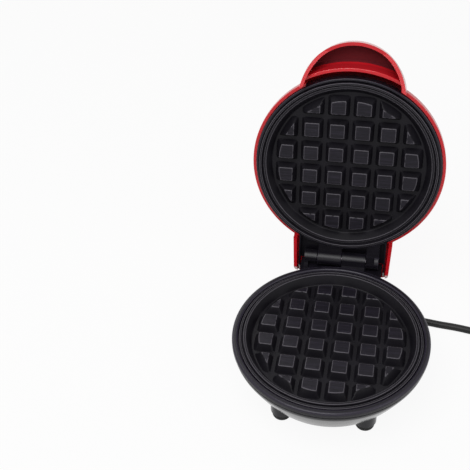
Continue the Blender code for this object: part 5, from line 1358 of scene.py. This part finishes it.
def cover_walls():
    """The hinge cover behind: its roof and side walls, open at the back, up to the middle of the dome's wall.
    """
    roof = PIN_Z + ROOF_INSIDE + COVER_WALL
    low = PIN_Z - 2.2
    cover = prism("cover", cover_line(0), low, roof)
    eased(cover, 1.4, lambda a, b: min(a.z, b.z) > roof - NEAR and max(a.y, b.y) > PIN_Y - BARREL, 4)
    back = PIN_Y + COVER_BACK
    chamfer = filleted([
        (back - 7.0, low - OVER), (back + OVER, low - OVER), (back + OVER, low + 7.2), (back, low + 7.2),
        (back - 7.0, low),
    ])
    combined(cover, "DIFFERENCE", prism("chamfer", chamfer, -50.0, 50.0, "X"))
    combined(cover, "DIFFERENCE", prism("channel", cover_line(COVER_WALL), low - OVER, PIN_Z + ROOF_INSIDE))
    core = turned("core", (
        (0, low - OVER), (BODY + 0.6, low - OVER), (BODY + 0.6, SHELL_LOW - 1.0),
        (BODY - 1.0, SHELL_LOW + 1.0), (BODY - 1.0, BAND_HIGH), (DOME_RADIUS - 1.0, DOME_LOW),
        (DOME_RADIUS - DOME_WALL, 70.0), (0, 70.0),
    ))
    return combined(cover, "DIFFERENCE", core)


def fitted_shell(shell):
    """The dome with its lens dish, hinge window, grip and hinge cover."""
    cup_low, cup_high = DISH_FLOOR - 3.0, DOME_HIGH - 2.1
    cup = rod("cup", 17.1, cup_low, cup_high, steps=LENS_STEPS)
    for corner in cup.data.vertices:
        if corner.co.z > cup_high - NEAR:
            corner.co.z = cup_high - 0.062 * corner.co.y
    dish = spun("dish", [
        (0, cup_low - OVER), (12.7, cup_low - OVER), (12.7, DISH_FLOOR, 0.3), (14.1, DISH_FLOOR, 1.6),
        (15.3, DOME_HIGH + 0.6), (15.3, DOME_HIGH + OVER), (0, DOME_HIGH + OVER),
    ], False, LENS_STEPS)
    combined(shell, "UNION", moved(cup, y=LENS_BACK))
    combined(shell, "DIFFERENCE", moved(dish, y=LENS_BACK))
    half = COVER_HALF - COVER_WALL
    window = block("window", (-half, 40.0, 40.0), (half, 75.0, PIN_Z + ROOF_INSIDE))
    notch = rod("notch", NOTCH_RADIUS, 40.0, NOTCH_HIGH, (0, GRIP_CENTRE), 96)
    combined(shell, "DIFFERENCE", window, notch)
    return combined(shell, "UNION", grip_wall(), cover_walls())


make_shell()


# Lens with a grid of small domes on its crown, and its ring

CROWN_RADIUS = 11.4
CROWN_RISE = 1.4


def make_lens():
    top = DISH_FLOOR + 0.7
    seat = DISH_FLOOR - 3.0
    crown = arc((0, 0), 1.0, 0, math.pi / 2, 14)[:-1]
    crown = [(CROWN_RADIUS * x, top + CROWN_RISE * y) for x, y in crown]
    lens = turned("lens", [(0, seat), (CROWN_RADIUS, seat), *crown, (0, top + CROWN_RISE)], LENS_STEPS)
    dot = turned("dot", [(0, -0.3), (0.45, -0.3), (0.48, 0.0), (0.4, 0.2), (0.22, 0.32), (0, 0.36)], 10)
    dots = grown(
        "dots", DIMPLES, Dot=dot, Rows=17, Pitch=1.25, Reach=10.2, Crown=CROWN_RADIUS, Rise=CROWN_RISE,
        Finish=LENS,
    )
    bpy.data.objects.remove(dot)
    lens = moved(gathered("green_lens", lens, moved(dots, z=top)), y=LENS_BACK)
    finished(lens, "lid", LENS, "lens_green", "indicator_lens")
    flange = seat - SEAT
    ring = spun("lens_bezel", [
        (11.7, top, 0.2), (11.7, flange), (10.7, flange), (10.7, flange - 1.4), (14.2, flange - 1.4),
        (14.2, flange), (12.4, flange), (12.4, top, 0.25),
    ], steps=LENS_STEPS)
    finished(moved(ring, y=LENS_BACK), "lid", BLACK, "black_gloss", "lens_ring")


make_lens()


# CAD nodes that keep their own shape

for look, nodes in (
    (TUBE_STEEL, ("lower_element", "upper_element", "hinge_pin")),
    (STEEL, ("lower_reflector", "thermostat", "base_screw_1", "base_screw_2", "base_screw_3")),
    (STEEL, ("lid_screw_1", "lid_screw_2", "lid_screw_3")),
    (CERAMIC, ("thermal_fuse", "lamp_holder")),
    (BROWN, ("terminal_block",)),
    (GLASS, ("indicator_lamp",)),
):
    for node in nodes:
        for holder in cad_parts[node].material_slots:
            holder.material = look


# Floor, world and lamps

def make_stage():
    floor = solid("floor", [(-6, -6, 0), (6, -6, 0), (6, 6, 0), (-6, 6, 0)], [(0, 1, 2, 3)])
    look = Look("paper_floor", roughness=0.9, specular_ior_level=0.0)
    fibre = look.noise(9.0, 2.0)
    look.set(base_color=look.tint(look.between(fibre, 0.3, 0.7), grey(0.90), grey(0.92)))
    glow = look.node("ShaderNodeEmission", None, {"Color": (1, 1, 1, 1), "Strength": 1.0})
    paper = Level(look, look.shader.outputs[0])
    mixed = look.node("ShaderNodeMixShader", None, {0: look.seen() * 0.92, 1: paper, 2: glow})
    look.tree.links.new(mixed.socket, look.tree.nodes["Material Output"].inputs["Surface"])
    floor.data.materials.append(look.material)

    world = bpy.data.worlds.new("studio")
    bpy.context.scene.world = world
    world.use_nodes = True
    studio = Nodes(world.node_tree)
    strength = studio.node("ShaderNodeMapRange", None, {
        "Value": studio.seen(), "To Min": 0.22, "To Max": 1.0,
    })
    background = studio.tree.nodes["Background"].inputs
    background["Color"].default_value = (1, 1, 1, 1)
    studio.tree.links.new(strength.socket, background["Strength"])

    for name, place, aim, size, watts in (
        ("key_softbox", (-0.16, -0.44, 1.0), (0, 0, 0.06), 0.72, 7.0),
        ("fill_softbox", (0.85, -0.45, 0.60), (0, 0, 0.06), 0.5, 1.5),
        ("back_softbox", (-0.5, 0.75, 0.9), (0, 0, 0.08), 0.5, 1.5),
    ):
        lamp = bpy.data.lights.new(name, "AREA")
        lamp.shape = "SQUARE"
        lamp.size = size
        lamp.energy = watts
        made = new_object(name, lamp)
        made.location = place
        made.rotation_euler = (Vector(place) - Vector(aim)).to_track_quat("Z", "Y").to_euler()


make_stage()

bpy.context.scene.view_settings.view_transform = "Standard"
